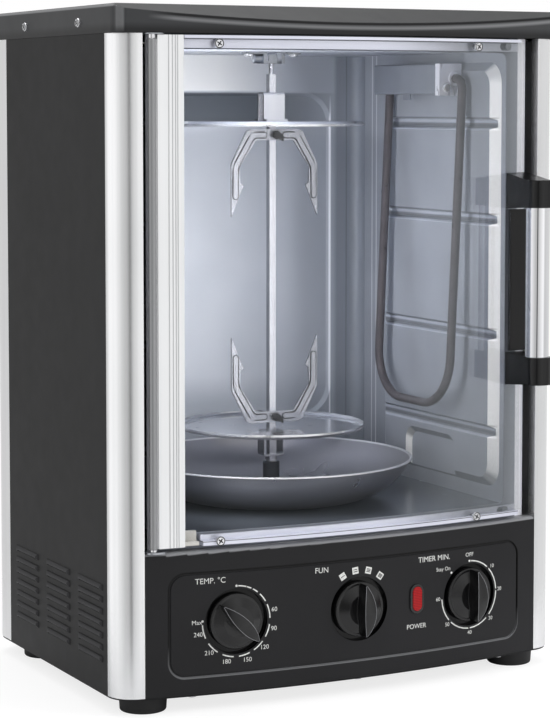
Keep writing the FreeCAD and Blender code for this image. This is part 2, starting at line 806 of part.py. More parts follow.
def switch_body(width, height, depth):
    """Switch, thermostat or timer: a block behind the panel with a round neck through its hole."""
    y0 = recess_depth + boss_wall + switch_gap
    w, h = width / 2, height / 2
    block = rounded_prism(-w, w, -h, h, switch_corner, on_front(y0), V(0, depth, 0))
    neck = rod(neck_radius, V(0, recess_depth + 0.4, 0), V(0, y0 + 1, 0))
    y1 = y0 + depth
    tags = [box(x - 3, x + 3, y1, y1 + tag_length, -(h + sheet) / 2, -(h - sheet) / 2) for x in (-w / 2, w / 2)]
    bore = rod(shaft_radius + shaft_play, V(0, 0, 0), V(0, y0 + shaft_in_switch + 1, 0))
    return fused([block, neck] + tags).cut(bore)


def lamp_lens():
    """Red lens that stands in the surround's window."""
    lens = lamp_slot(-lamp_rim - lens_gap, -lamp_proud - 0.5, lens_depth - lamp_proud - 0.5)
    edges = [e for e in lens.Edges if e.BoundBox.YMax < -lamp_proud - 0.49]
    return lens.makeFillet(0.8, edges)


def lamp_body():
    """Lamp holder: a black surround on the panel's face, and a sleeve through its slot."""
    surround = lamp_slot(0, -lamp_proud, 0)
    surround = surround.makeFillet(0.5, [e for e in surround.Edges if e.BoundBox.YMax < -lamp_proud + 0.01])
    sleeve = lamp_slot(-lamp_step, -0.5, lamp_depth)
    window = lamp_slot(-lamp_rim, -lamp_proud - 1, lens_depth - lamp_proud - 0.5 + lens_gap)
    return surround.fuse(sleeve).cut(window)


# Oven cavity

def pressed_panel(x):
    """The right wall's raised field with its four grooves and its lower recess, on the plane x."""
    top = x - press_height
    base = rounded_wire(press_front, press_back, press_low, press_high, press_corner, on_side(x))
    face = rounded_wire(press_front + press_bevel, press_back - press_bevel, press_low + press_bevel * 0.7,
                        press_high - press_bevel * 0.7, press_corner * 0.75, on_side(top))
    field = Part.makeLoft([base, face], True, True)
    cuts = []
    for z in [cavity_floor + rise for rise in low_grooves] + [cavity_top - drop for drop in high_grooves]:
        half = groove_width / 2
        bottom = top + groove_depth
        points = [V(top - 1, press_front - 5, z - half - 0.8), V(bottom, press_front - 5, z - half + 1.6),
                  V(bottom, press_front - 5, z + half - 1.6), V(top - 1, press_front - 5, z + half + 0.8)]
        cuts.append(prism(points, V(0, press_back - press_front + 10, 0)))
    bottom = top + groove_depth
    low, bevel = press_low - 20, 5
    wide = rounded_wire(window_front, window_back, low, window_high, 12, on_side(top - 0.5))
    deep = rounded_wire(window_front + bevel, window_back - bevel, low, window_high - bevel, 9, on_side(bottom))
    cuts.append(Part.makeLoft([wide, deep], True, True))
    return field.cut(Part.makeCompound(cuts))


def liner_right():
    """Side wall of the cavity: one sheet with the pressed field and a flange behind the frame."""
    x = cavity_half
    flange_x = x + liner_flange
    y0 = bow_y(flange_x, frame_inset + frame_thick) + seat_gap
    y1 = cavity_back - cavity_corner - seat_gap
    plate = box(x, x + sheet, y0, y1, cavity_floor - sheet, cavity_top + sheet)
    flange = box(x, flange_x, y0, y0 + sheet, cavity_floor, cavity_top)
    field = pressed_panel(x)
    hollow = field.copy()
    hollow.translate(V(sheet, 0, 0))
    return fused([plate, flange, field]).cut(hollow)


def liner_back():
    """Back wall with rounded vertical corners and a shallow field pressed outwards."""
    x = cavity_half
    y = cavity_back
    r = cavity_corner

    def sheet_face(grow):
        rr = r + grow
        k = rr * math.sqrt(0.5)
        cx = x - r
        cy = y - r
        z = cavity_floor
        right = Part.Arc(V(cx + rr, cy, z), V(cx + k, cy + k, z), V(cx, cy + rr, z)).toShape()
        left = Part.Arc(V(-cx, cy + rr, z), V(-cx - k, cy + k, z), V(-cx - rr, cy, z)).toShape()
        middle = Part.makeLine(V(cx, cy + rr, z), V(-cx, cy + rr, z))
        close = Part.makeLine(V(-cx - rr, cy, z), V(cx + rr, cy, z))
        return Part.Face(Part.Wire([right, middle, left, close])).extrude(V(0, 0, cavity_top - cavity_floor))

    skin = sheet_face(sheet).cut(sheet_face(0))
    half = back_press_half
    near = rounded_wire(-half, half, back_press_low, back_press_high, back_press_corner, on_front(y))
    far = rounded_wire(-half + 3, half - 3, back_press_low + 3, back_press_high - 3, back_press_corner - 3,
                       on_front(y + back_press_depth))
    field = Part.makeLoft([near, far], True, True)
    outer = field.copy()
    outer.translate(V(0, sheet, 0))
    return skin.fuse(outer).cut(field)


def cavity_plan(z, thickness):
    """Plan of the cavity, from the frame to the back wall with its rounded corners."""
    start = frame_inset + frame_thick + seat_gap
    y0 = front - front_bow - cavity_corner
    slab = bowed_slab(-cavity_half, cavity_half, start, cavity_back - y0, z, z + thickness)
    tall = V(0, 0, thickness)
    return slab.common(rounded_prism(-cavity_half, cavity_half, y0, cavity_back, cavity_corner, on_table(z), tall))


def liner_floor():
    plate = cavity_plan(cavity_floor - sheet, sheet)
    hole = rod(floor_hole, V(0, 0, cavity_floor - 3), V(0, 0, cavity_floor + 3))
    return plate.cut(hole)


def liner_ceiling():
    return cavity_plan(cavity_top, sheet).cut(holes_for(case_screw_places()))


def cavity_frame():
    """Bowed sheet frame round the mouth of the cavity, behind the door."""
    inset = frame_inset
    low, high = panel_top + seat_gap, cap_bottom - seat_gap
    skin = bowed_slab(-frame_half, frame_half, inset, inset + frame_thick, low, high)
    through = V(0, 2 * front_bow + 2 * inset, 0)
    start = on_front(front - 2 * front_bow)
    mouth = rounded_prism(-mouth_half, mouth_half, mouth_low, mouth_high, mouth_corner, start, through)
    return skin.cut(mouth)


def element_point(y, z):
    """A point of the element's plane, which leans into the cavity as it goes down."""
    drop = element_high - z
    lean = math.radians(element_lean)
    return V(element_top_x - drop * math.sin(lean), y, element_high - drop * math.cos(lean))


def element_path():
    """From the box's end plate down the front leg, round the bottom and up the back leg into the box."""
    f, b = element_front, element_back
    r, t = element_bend, element_top_bend
    top, low = element_high, element_low
    k = 1 - math.sqrt(0.5)
    runs = [
        ((box_front, top), (f + t, top)),
        ((f + t, top), (f + t * k, top - t * k), (f, top - t)),
        ((f, top - t), (f, low + r)),
        ((f, low + r), (f + r * k, low + r * k), (f + r, low)),
        ((f + r, low), (b - r, low)),
        ((b - r, low), (b - r * k, low + r * k), (b, low + r)),
        ((b, low + r), (b, top)),
    ]
    edges = []
    for run in runs:
        points = [element_point(*p) for p in run]
        edges.append(Part.Arc(*points).toShape() if len(run) == 3 else Part.makeLine(*points))
    return Part.Wire(edges)


def box_inner_x():
    """X of the terminal cover's face towards the spit."""
    return cavity_half - press_height - seat_gap - box_reach


def heating_element():
    start = element_point(box_front, element_high)
    ring = Part.Wire(Part.makeCircle(element_radius, start, V(0, 1, 0)))
    return element_path().makePipeShell([ring], True, False)


def element_box():
    """Terminal cover on the right wall. The element enters it through its front end and its underside."""
    x0 = box_inner_x()
    x1 = x0 + box_reach
    outer = box(x0, x1, box_front, box_back, box_low, box_high)
    long_edges = [e for e in outer.Edges if e.BoundBox.XMax < x0 + 0.01 and e.BoundBox.YLength > box_reach]
    outer = outer.makeFillet(1.5, long_edges)
    room = box(x0 + sheet, x1 + 1, box_front + sheet, box_back - sheet, box_low + sheet, box_high - sheet)
    play = element_radius + seat_gap
    end = V(element_top_x, box_front, element_high)
    front_hole = rod(play, end - V(0, 1, 0), end + V(0, sheet + 1, 0))
    back_hole = rod(play, element_point(element_back, box_low - 2), element_point(element_back, box_low + 2))
    clip = box(x0 + 3, x0 + 3 + sheet, -clip_width / 2, clip_width / 2, box_low - clip_drop, box_low + sheet)
    body = outer.cut(Part.makeCompound([room, front_hole, back_hole])).fuse(clip)
    return body.cut(holes_for(case_screw_places()))


def element_flange():
    """Bright plate on the box's front end, with a ferrule round the element."""
    x0 = box_inner_x() - 2
    x1 = x0 + box_reach + 2
    y = box_front
    plate = box(x0, x1, y - end_plate_thick, y, box_low - 1, box_high)
    lip = box(x0, x0 + end_plate_thick, y - end_plate_thick, y + end_plate_lip, box_low - 1, box_high)
    end = V(element_top_x, y, element_high)
    ferrule = rod(ferrule_radius, end, end - V(0, ferrule_reach, 0))
    bore = rod(element_radius + seat_gap / 2, end - V(0, ferrule_reach + 1, 0), end + V(0, 5, 0))
    return fused([plate, lip, ferrule]).cut(bore).cut(holes_for(case_screw_places()))


# Spit and what turns with it

def square_bar(side_length, z0, z1):
    h = side_length / 2
    return box(-h, h, -h, h, z0, z1)


def spit_hook():
    """Channel under the ceiling. The spit's neck goes in from the front right and hooks to the middle."""
    z0, z1 = hook_bottom, hook_top
    d = hook_depth / 2
    body = box(-hook_half, hook_half, -d, d, z0, z1)
    room = box(-hook_half + hook_leg, hook_half - hook_leg, -d - 1, d + 1, z0 + hook_web, z1 + 1)
    root = hook_half - hook_leg / 2
    ear = box(root, hook_half + hook_ear, -d, d, z1 - hook_ear_thick, z1)
    tongue = rounded_prism(-4.6, 2.4, z0, z1 - 1.6, 1.6, on_front(-d), V(0, 1.4, 0))
    s = hook_slot / 2
    entry = box(2.4, 2.4 + hook_slot, -d - 1, s, z0 - 1, z0 + hook_web + 1)
    across = box(0, 4, -s, s, z0 - 1, z0 + hook_web + 1)
    seat = rod(s, V(0, 0, z0 - 1), V(0, 0, z0 + hook_web + 1))
    notch = box(2.4, 2.4 + hook_slot, -d - 1, -d + 2, z0 - 1, z0 + 5)
    stud_z = z0 + hook_stud_radius
    stud = rod(hook_stud_radius, V(-hook_half - hook_stud_length, 0, stud_z), V(-root, 0, stud_z))
    stud_end = -hook_half - hook_stud_length
    stud = stud.makeChamfer(0.6, [e for e in stud.Edges if e.BoundBox.XMax < stud_end + 0.01])
    body = body.cut(room).multiFuse([ear, mirrored(ear), stud])
    body = body.cut(Part.makeCompound([entry, across, seat, notch])).fuse(tongue)
    return body.cut(holes_for(case_screw_places())).removeSplitter()


def spit_rod():
    """Square rod with a round neck for the top hook and a collar under the lower bracket."""
    bar = square_bar(rod_side, rod_tip, rod_shoulder)
    neck = rod(spit_neck_radius, V(0, 0, rod_shoulder - 1), V(0, 0, neck_top))
    collar_top = lower_strap_bottom() - 0.1
    collar = rod(collar_radius, V(0, 0, collar_top - collar_height), V(0, 0, collar_top))
    return fused([bar, neck, collar])


def rimmed_disc():
    """Round tray with its rim up, its plate's underside at z = 0, and small drain holes."""
    r = disc_radius
    t = disc_thick
    h = disc_rim
    profile = [(disc_bore, 0), (r - disc_rim_round, 0), (r, disc_rim_round), (r, h), (r - t, h),
               (r - t, disc_rim_round + t * 0.4), (r - disc_rim_round - t * 0.4, t), (disc_bore, t)]
    plate = turned(profile)
    holes = []
    for radius, count in ((30.0, 6), (58.0, 12)):
        for i in range(count):
            a = 2 * math.pi * (i + 0.5) / count
            x, y = radius * math.cos(a), radius * math.sin(a)
            holes.append(rod(1.5, V(x, y, -1), V(x, y, t + 1)))
    return plate.cut(Part.makeCompound(holes))


def lower_disc_plate():
    return lower_disc_rim - disc_rim


def rotating_tray():
    tray = rimmed_disc()
    tray.translate(V(0, 0, lower_disc_plate()))
    return tray


def upper_disc():
    disc = rimmed_disc().mirror(V(0, 0, 0), V(0, 0, 1))
    disc.translate(V(0, 0, upper_disc_top))
    return disc


def strap(width, gap):
    """A strap bent to a bridge over the rod: feet at z = 0, legs either side in Y, and a web on top."""
    w, g, t, h = width / 2, gap / 2, strap_thick, strap_height
    outer = box(-w, w, -g, g, 0, h)
    bends = [e for e in outer.Edges if e.BoundBox.ZMin > h - 0.01 and e.BoundBox.XLength > 1]
    outer = outer.makeFillet(2.2, bends)
    inner = box(-w - 1, w + 1, -g + t, g - t, -1, h - t)
    feet = box(-w, w, -g - strap_foot, g + strap_foot, 0, t)
    bend = outer.cut(inner).fuse(feet).cut(box(-w - 1, w + 1, -g + t, g - t, -1, t + 1))
    hole = square_bar(rod_side + 2 * rod_play, -1, h + 1)
    return bend.cut(hole).removeSplitter()


def upper_bracket():
    piece = strap(strap_wide, strap_narrow)
    piece.translate(V(0, 0, upper_disc_top + disc_gap))
    return piece


def lower_strap_bottom():
    return lower_disc_plate() - disc_gap - strap_height


def lower_bracket():
    piece = strap(strap_narrow, strap_wide)
    piece.rotate(V(0, 0, 0), V(0, 0, 1), 90)
    piece.rotate(V(0, 0, 0), V(1, 0, 0), 180)
    piece.translate(V(0, 0, lower_disc_plate() - disc_gap))
    return piece


def prong_outline():
    """Right half of the fork in its plane, prongs up: web, shoulder, bend, barb and tip."""
    w = fork_web / 2
    p = fork_prong / 2
    s = fork_spread
    slant = (fork_bend - w) / (s - fork_shoulder + 4)
    bend_low = fork_bend
    tip = fork_length
    neck = tip - fork_tip
    inner_web = fork_shoulder - p - (fork_bend - w) * 0.12
    return [
        (0, -w), (fork_shoulder - 2, -w), (fork_shoulder + 2.2, -w + 1.6), (s + p, bend_low - slant),
        (s + p, tip), (s - p - barb_out * 0.2, neck - 4), (s - p - barb_out, neck - 9),
        (s - p - 0.4, neck - 11), (s - p, bend_low + 1), (inner_web, w), (0, w),
    ]


def emboss_path():
    """Middle line of the pressed slot in each half of the fork."""
    end = (fork_spread + 0.2, fork_length - fork_tip - 1)
    return [(9.0, 0.3), (fork_shoulder - 3.0, 0.3), (fork_spread, fork_bend + 1), end]


def emboss():
    """A low ridge along the middle line, with round ends and round corners."""
    r = emboss_width / 2
    y0 = fork_front - emboss_height
    points = emboss_path()
    pieces = [rod(r, V(x, y0, z), V(x, fork_front + 0.3, z)) for x, z in points]
    for (x0, z0), (x1, z1) in zip(points, points[1:]):
        dx, dz = x1 - x0, z1 - z0
        length = math.hypot(dx, dz)
        nx, nz = -dz / length * r, dx / length * r
        ends = [(x0 + nx, z0 + nz), (x1 + nx, z1 + nz), (x1 - nx, z1 - nz), (x0 - nx, z0 - nz)]
        pieces.append(prism([V(x, y0, z) for x, z in ends], V(0, emboss_height + 0.3, 0)))
    return fused(pieces)


def fork():
    """Flat fork with its prongs up, a folded hub behind it that slides on the rod, and pressed ridges."""
    half = prong_outline()
    points = half + [(-x, z) for x, z in reversed(half)][1:-1]
    plate = prism([V(x, fork_front, z) for x, z in points], V(0, fork_thick, 0))
    rear = fork_front + fork_thick
    depth = rod_side / 2 + 3.4
    w = fork_web / 2
    flanges = [box(-hub_half, hub_half, rear - 0.2, depth, z, z + hub_flange) for z in (-w, w - hub_flange)]
    ridge = emboss()
    whole = fused([plate, ridge, mirrored(ridge)] + flanges)
    boss_hole = rod(screw_shank_radius + shaft_play, V(0, fork_front - 2, 0), V(0, rear + 1, 0))
    hole = square_bar(rod_side + 2 * rod_play, -w - 1, w + 1)
    return whole.cut(Part.makeCompound([boss_hole, hole]))


def lower_fork():
    piece = fork()
    piece.translate(V(0, 0, lower_fork_z))
    return piece


def upper_fork():
    piece = fork().mirror(V(0, 0, 0), V(0, 0, 1))
    piece.translate(V(0, 0, upper_fork_z))
    return piece


def thumb_screw(z):
    """Screw that clamps a fork to the rod, with a round boss and one curved blade to turn it by."""
    y1 = -rod_side / 2 - rod_play
    y0 = fork_front - emboss_height
    boss_front = y0 - 0.3 - boss_length
    shank = rod(screw_shank_radius, V(0, y0 - 1, 0), V(0, y1, 0))
    boss = rod(screw_boss, V(0, boss_front, 0), V(0, y0 - 0.3, 0))
    half = thumb_width / 2
    y = boss_front - thumb_thick / 2
    tip = V(thumb_reach, y, -half * 0.4)
    upper = Part.Arc(V(0, y, half), V(thumb_reach * 0.62, y, half * 0.75), tip).toShape()
    lower = Part.Arc(tip, V(thumb_reach * 0.5, y, -half * 0.55), V(0, y, -half)).toShape()
    rear = Part.Arc(V(0, y, -half), V(-half, y, 0), V(0, y, half)).toShape()
    blade = Part.Face(Part.Wire([upper, lower, rear])).extrude(V(0, thumb_thick, 0))
    piece = fused([shank, boss, blade])
    piece.rotate(V(0, 0, 0), V(0, 1, 0), thumb_turn)
    piece.translate(V(0, 0, z))
    return piece


def drive_coupling():
    """Socket with a square hole for the rod, on the shaft that comes up through the floor."""
    socket = rod(socket_radius, V(0, 0, socket_low), V(0, 0, socket_top))
    socket = socket.makeChamfer(0.6, [e for e in socket.Edges if e.BoundBox.ZMin > socket_top - 0.01])
    shaft = rod(drive_radius, V(0, 0, drive_end), V(0, 0, socket_low + 1))
    hole = square_bar(rod_side + 2 * rod_play, socket_top - socket_hole, socket_top + 1)
    return fused([socket, shaft]).cut(hole)


def gear_motor():
    """Flat synchronous motor with its gears inside, an output boss and two ears."""
    can = rod(motor_radius, V(0, 0, motor_low), V(0, 0, motor_high))
    can = can.makeFillet(1.5, [e for e in can.Edges if e.BoundBox.ZMax < motor_low + 0.01])
    boss = rod(motor_boss_radius, V(0, 0, motor_high - 1), V(0, 0, motor_high + 3))
    low = on_table(motor_high - motor_ear_thick)
    ears = rounded_prism(-motor_ear_x - 5, motor_ear_x + 5, -5, 5, 4.9, low, V(0, 0, motor_ear_thick))
    bore = rod(drive_radius + drive_play, V(0, 0, drive_end - 1), V(0, 0, motor_high + 5))
    return fused([can, boss, ears]).cut(bore).cut(holes_for(case_screw_places()))


def motor_bracket():
    """Channel that hangs the motor under the cavity's floor."""
    z0 = motor_high + 0.1
    z1 = cavity_floor - sheet - 0.1
    d = bracket_depth / 2
    t = bracket_plate
    web = box(-bracket_half, bracket_half, -d, d, z0, z0 + t)
    pieces = [web]
    for s in (-1, 1):
        x = s * bracket_half
        pieces.append(box(min(x, x - s * t), max(x, x - s * t), -d, d, z0, z1))
        pieces.append(box(min(x - s * t, x + s * 12), max(x - s * t, x + s * 12), -d, d, z1 - t, z1))
    hole = rod(motor_boss_radius + 0.3, V(0, 0, z0 - 1), V(0, 0, z0 + 3))
    return fused(pieces).cut(hole).cut(holes_for(case_screw_places()))


def drip_pan():
    """Shallow bowl: one arc from its flat bottom to its rim, a stepped ring and a collar round the drive."""
    z0, z1, t = pan_low, pan_rim_z, pan_sheet
    foot, rim = pan_foot_radius, pan_rim_radius
    rise = z1 - z0 - t
    run = rim - t - foot
    wall = (run ** 2 + rise ** 2) / (2 * rise)
    centre = z0 + t + wall

    def arc(radius, end_z):
        end = math.acos((centre - end_z) / radius)
        places = [(foot + radius * math.sin(a), centre - radius * math.cos(a)) for a in (0, end / 2, end)]
        return [V(r, 0, z) for r, z in places]

    inner = arc(wall, z1)
    outer = arc(wall + t, z1 - 2 * pan_bead)
    bead = [V(rim, 0, z1), V(rim + pan_bead, 0, z1 - pan_bead), V(rim, 0, z1 - 2 * pan_bead)]
    ring = [(foot - 4, z0 + t), (foot - 6, z0 + 2 * t), (foot - 16, z0 + 2 * t), (foot - 18, z0 + t)]
    collar = [(pan_hole + t, z0 + t), (pan_hole + t, pan_collar_z), (pan_hole, pan_collar_z), (pan_hole, z0)]
    middle = [inner[0]] + [V(r, 0, z) for r, z in ring + collar] + [outer[0]]
    edges = [Part.makeLine(p, q) for p, q in zip(middle, middle[1:])]
    edges += [Part.Arc(*outer).toShape(), Part.makeLine(outer[2], bead[2])]
    edges += [Part.Arc(*reversed(bead)).toShape(), Part.makeLine(bead[0], inner[2])]
    edges += [Part.Arc(*reversed(inner)).toShape()]
    return Part.Face(Part.Wire(edges)).revolve(V(0, 0, 0), V(0, 0, 1), 360)


# Door

def door_screw_places():
    """Through the glass: four screws into the rails, and two from inside into the handle's brackets."""
    places = []
    for x in (stile_right + rail_screw_in, rail_right - rail_screw_end):
        out = V(x / bow_radius, -1, 0).normalize()
        places.append((V(x, bow_y(x, 0), top_rail_low + 3.1), out))
        places.append((V(x, bow_y(x, -rail_lip), bottom_rail_low + 2.9), out))
    out = V(-handle_x / bow_radius, 1, 0).normalize()
    for z in (handle_low + handle_block / 2 - 3, handle_high - handle_block / 2 + 3):
        places.append((V(handle_x, bow_y(handle_x, glass_thick + 0.02), z), out))
    return places


def door_glass():
    """Bowed pane with a hole for each rail and handle screw."""
    pane = bowed_slab(glass_left, glass_right, 0, glass_thick, glass_low, glass_high)
    return pane.cut(holes_for(door_screw_places()))


def rail(x0, low, high, lip_low, lip_high):
    """J-shaped rail: a wall behind the glass and a lip over its edge, with a keyhole slot for the catch."""
    inner = glass_thick + rail_gap
    wall = bowed_slab(x0, rail_right, inner, inner + rail_back, low, high)
    lip = bowed_slab(x0, rail_right, -rail_lip, inner, lip_low, lip_high)
    return fused([wall, lip])


def catch_places():
    return [(rail_right - catch_in, top_rail_low + 3.6), (rail_right - catch_in, bottom_rail_high - 3.3)]


def catch_slot(x, z):
    r = catch_slot_radius
    start = on_front(front - front_bow)
    return rounded_prism(x - catch_slot_length, x + r, z - r, z + r, r * 0.98, start, V(0, 2 * front_bow, 0))


def top_rail():
    piece = rail(top_rail_left, top_rail_low, top_rail_high, glass_high + rail_gap, top_rail_high)
    start = rail_right - 3 * catch_in
    behind = bowed_slab(start, rail_right, glass_thick, 60, top_rail_low - 1, glass_high)
    return piece.cut(holes_for(door_screw_places())).cut(catch_slot(*catch_places()[0]).common(behind))


def bottom_rail():
    piece = rail(bottom_rail_left, bottom_rail_low, bottom_rail_high, bottom_rail_low, glass_low - rail_gap)
    start = rail_right - 3 * catch_in
    behind = bowed_slab(start, rail_right, glass_thick, 60, glass_low - 3, bottom_rail_high + 1)
    return piece.cut(holes_for(door_screw_places())).cut(catch_slot(*catch_places()[1]).common(behind))


def rail_screws():
    return Part.makeCompound([short_screw(point, out) for point, out in door_screw_places()])


def short_screw(point, out):
    head = Part.makeCylinder(screw_head_radius, rail_screw_head, V(0, 0, 0), V(0, 0, 1))
    head = head.makeFillet(1.0, [e for e in head.Edges if e.BoundBox.ZMin > rail_screw_head / 2])
    length = glass_thick + rail_back
    shank = Part.makeCylinder(screw_shank_radius, length, V(0, 0, -length), V(0, 0, 1))
    piece = head.fuse(shank)
    piece.Placement = FreeCAD.Placement(point, FreeCAD.Rotation(V(0, 0, 1), out))
    return piece


def door_catches():
    """Round magnets in the rails' slots that hold the door against the frame."""
    pieces = []
    for x, z in catch_places():
        out = V(x / bow_radius, -1, 0).normalize()
        start = V(x, bow_y(x, glass_thick + rail_gap), z)
        pieces.append(rod(catch_radius, start, start.sub(out * (frame_inset - glass_thick - rail_gap - 0.3))))
    return Part.makeCompound(pieces)


def stile_back():
    """Y of the stile's rear face, which leaves a wall behind the glass at its left edge."""
    return bow_y(glass_left, glass_thick + rail_gap + stile_wall)


def hinge_stile():
    """Extruded stile: grooved face, slot for the glass and a round barrel along the hinge line."""
    y_right = bow_y(stile_right, -stile_proud)
    y_left = y_right + stile_skew
    y_rear = stile_back()
    points = [(stile_left, y_left), (stile_right, y_right), (stile_right, y_rear), (stile_left, y_rear)]
    body = prism([V(x, y, stile_low) for x, y in points], V(0, 0, stile_high - stile_low))
    barrel_top = cap_bottom - barrel_gap
    barrel = rod(barrel_radius, V(hinge_x, hinge_y, stile_low), V(hinge_x, hinge_y, barrel_top))
    web = box(hinge_x, stile_left + 1, hinge_y - 0.6, hinge_y + 1.8, stile_low, barrel_top)
    low, high = stile_low - 1, stile_high + 1
    slot = bowed_slab(glass_left - 0.4, glass_right, -rail_gap / 2, glass_thick + rail_gap, low, high)
    grooves = []
    for step in stile_grooves:
        x = stile_left + step
        y = y_left + (y_right - y_left) * step / stile_width
        grooves.append(rod(stile_groove_radius, V(x, y - 0.1, low), V(x, y - 0.1, high)))
    bore = rod(pin_radius + pin_play, V(hinge_x, hinge_y, low), V(hinge_x, hinge_y, high))
    return fused([body, barrel, web]).cut(Part.makeCompound([slot, bore] + grooves))


def stile_block():
    """End block beside the stile, where the bottom rail begins."""
    x0, x1 = stile_right + 0.2, bottom_rail_left - 3.0
    inner = glass_thick + rail_gap
    low = bottom_rail_low + 0.7
    behind = bowed_slab(x0, x1, inner, inner + rail_back + 1.2, low, bottom_rail_high + 3.3)
    return behind.fuse(bowed_slab(x0, x1, -rail_lip, inner, low, glass_low - rail_gap))


def hinge_pins():
    """Pins of the door, each with a collar that shows between the barrel and its plate."""
    def pin(z0, z1):
        return rod(pin_radius, V(hinge_x, hinge_y, z0), V(hinge_x, hinge_y, z1))

    def collar(z0, z1):
        return rod(pin_collar, V(hinge_x, hinge_y, z0), V(hinge_x, hinge_y, z1))

    low_plate = panel_top + seat_gap + hinge_plate
    high_plate = cap_bottom - 0.05 - hinge_plate_top - 0.05
    barrel_top = cap_bottom - barrel_gap
    low = fused([pin(low_plate - 1, stile_low + pin_engage), collar(low_plate, stile_low - hinge_gap)])
    high_pin = pin(barrel_top - pin_engage, cap_bottom - seat_gap)
    high = fused([high_pin, collar(barrel_top + hinge_gap, high_plate)])
    return Part.makeCompound([low, high])


def hinge_plate_shape(z0, z1):
    x0, x1 = hinge_x - hinge_plate_left, hinge_x + hinge_plate_right
    rear = bow_y(x1, frame_inset) - seat_gap
    front_edge = hinge_y - hinge_plate_front
    plate = rounded_prism(x0, x1, front_edge, rear, hinge_plate_round, on_table(z0), V(0, 0, z1 - z0))
    return plate.cut(rod(pin_radius, V(hinge_x, hinge_y, z0 - 1), V(hinge_x, hinge_y, z1 + 1)))


def hinge_plates():
    """Plates that carry the pins: one on the panel, one under the cap."""
    low = panel_top + 0.05
    high = cap_bottom - 0.05
    low_plate = hinge_plate_shape(low, low + hinge_plate)
    return Part.makeCompound([low_plate, hinge_plate_shape(high - hinge_plate_top, high)])


def handle_bracket(z_front, z_glass, tube_side):
    """Moulded bracket from the glass to the tube's end. `tube_side` is +1 where the tube goes up from it."""
    half = handle_width / 2
    z0 = min(z_front, z_front + handle_block * tube_side)
    z1 = z0 + handle_block
    flare = handle_flare
    g0, g1 = (z0 - handle_rise * 0.6, z1 + flare) if tube_side > 0 else (z0 - flare, z1 + handle_rise)
    x0, x1 = handle_x - half, handle_x + half
    glass_y = bow_y(handle_x, 0) + 8
    points = [V(x0, handle_y, z0), V(x0, handle_y, z1), V(x0, glass_y, g1), V(x0, glass_y, g0)]
    arm = prism(points, V(handle_width, 0, 0))
    rear = handle_y + 10
    front_piece = rounded_prism(x0, x1, handle_front, rear, half * 0.85, on_table(z0), V(0, 0, z1 - z0))
    whole = fused([arm, front_piece])
    behind = bowed_slab(x0 - 20, bow_half, -0.05, 80, z0 - 30, z1 + 30)
    mouth = z1 if tube_side > 0 else z0
    deep = mouth - tube_side * handle_socket
    bore = handle_tube_radius + push_gap
    socket = rod(bore, V(handle_x, handle_y, deep), V(handle_x, handle_y, mouth + tube_side))
    return whole.cut(behind).cut(socket).cut(holes_for(door_screw_places()))


def handle_bracket_top():
    return handle_bracket(handle_high, 0, -1)


def handle_bracket_bottom():
    return handle_bracket(handle_low, 0, 1)


def handle_tube():
    z0 = handle_low + handle_block - handle_socket
    z1 = handle_high - handle_block + handle_socket
    low, high = V(handle_x, handle_y, z0), V(handle_x, handle_y, z1)
    step = V(0, 0, 1)
    bore = rod(handle_tube_radius - handle_tube_wall, low - step, high + step)
    return rod(handle_tube_radius, low, high).cut(bore)


def handle_back_plate():
    """Black strip on the glass between the two brackets."""
    half = handle_plate_width / 2
    low = handle_low + handle_block + handle_flare + seat_gap
    high = handle_high - handle_block - handle_flare - seat_gap
    return bowed_slab(handle_x - half, handle_x + half, -handle_plate_thick, -0.05, low, high)


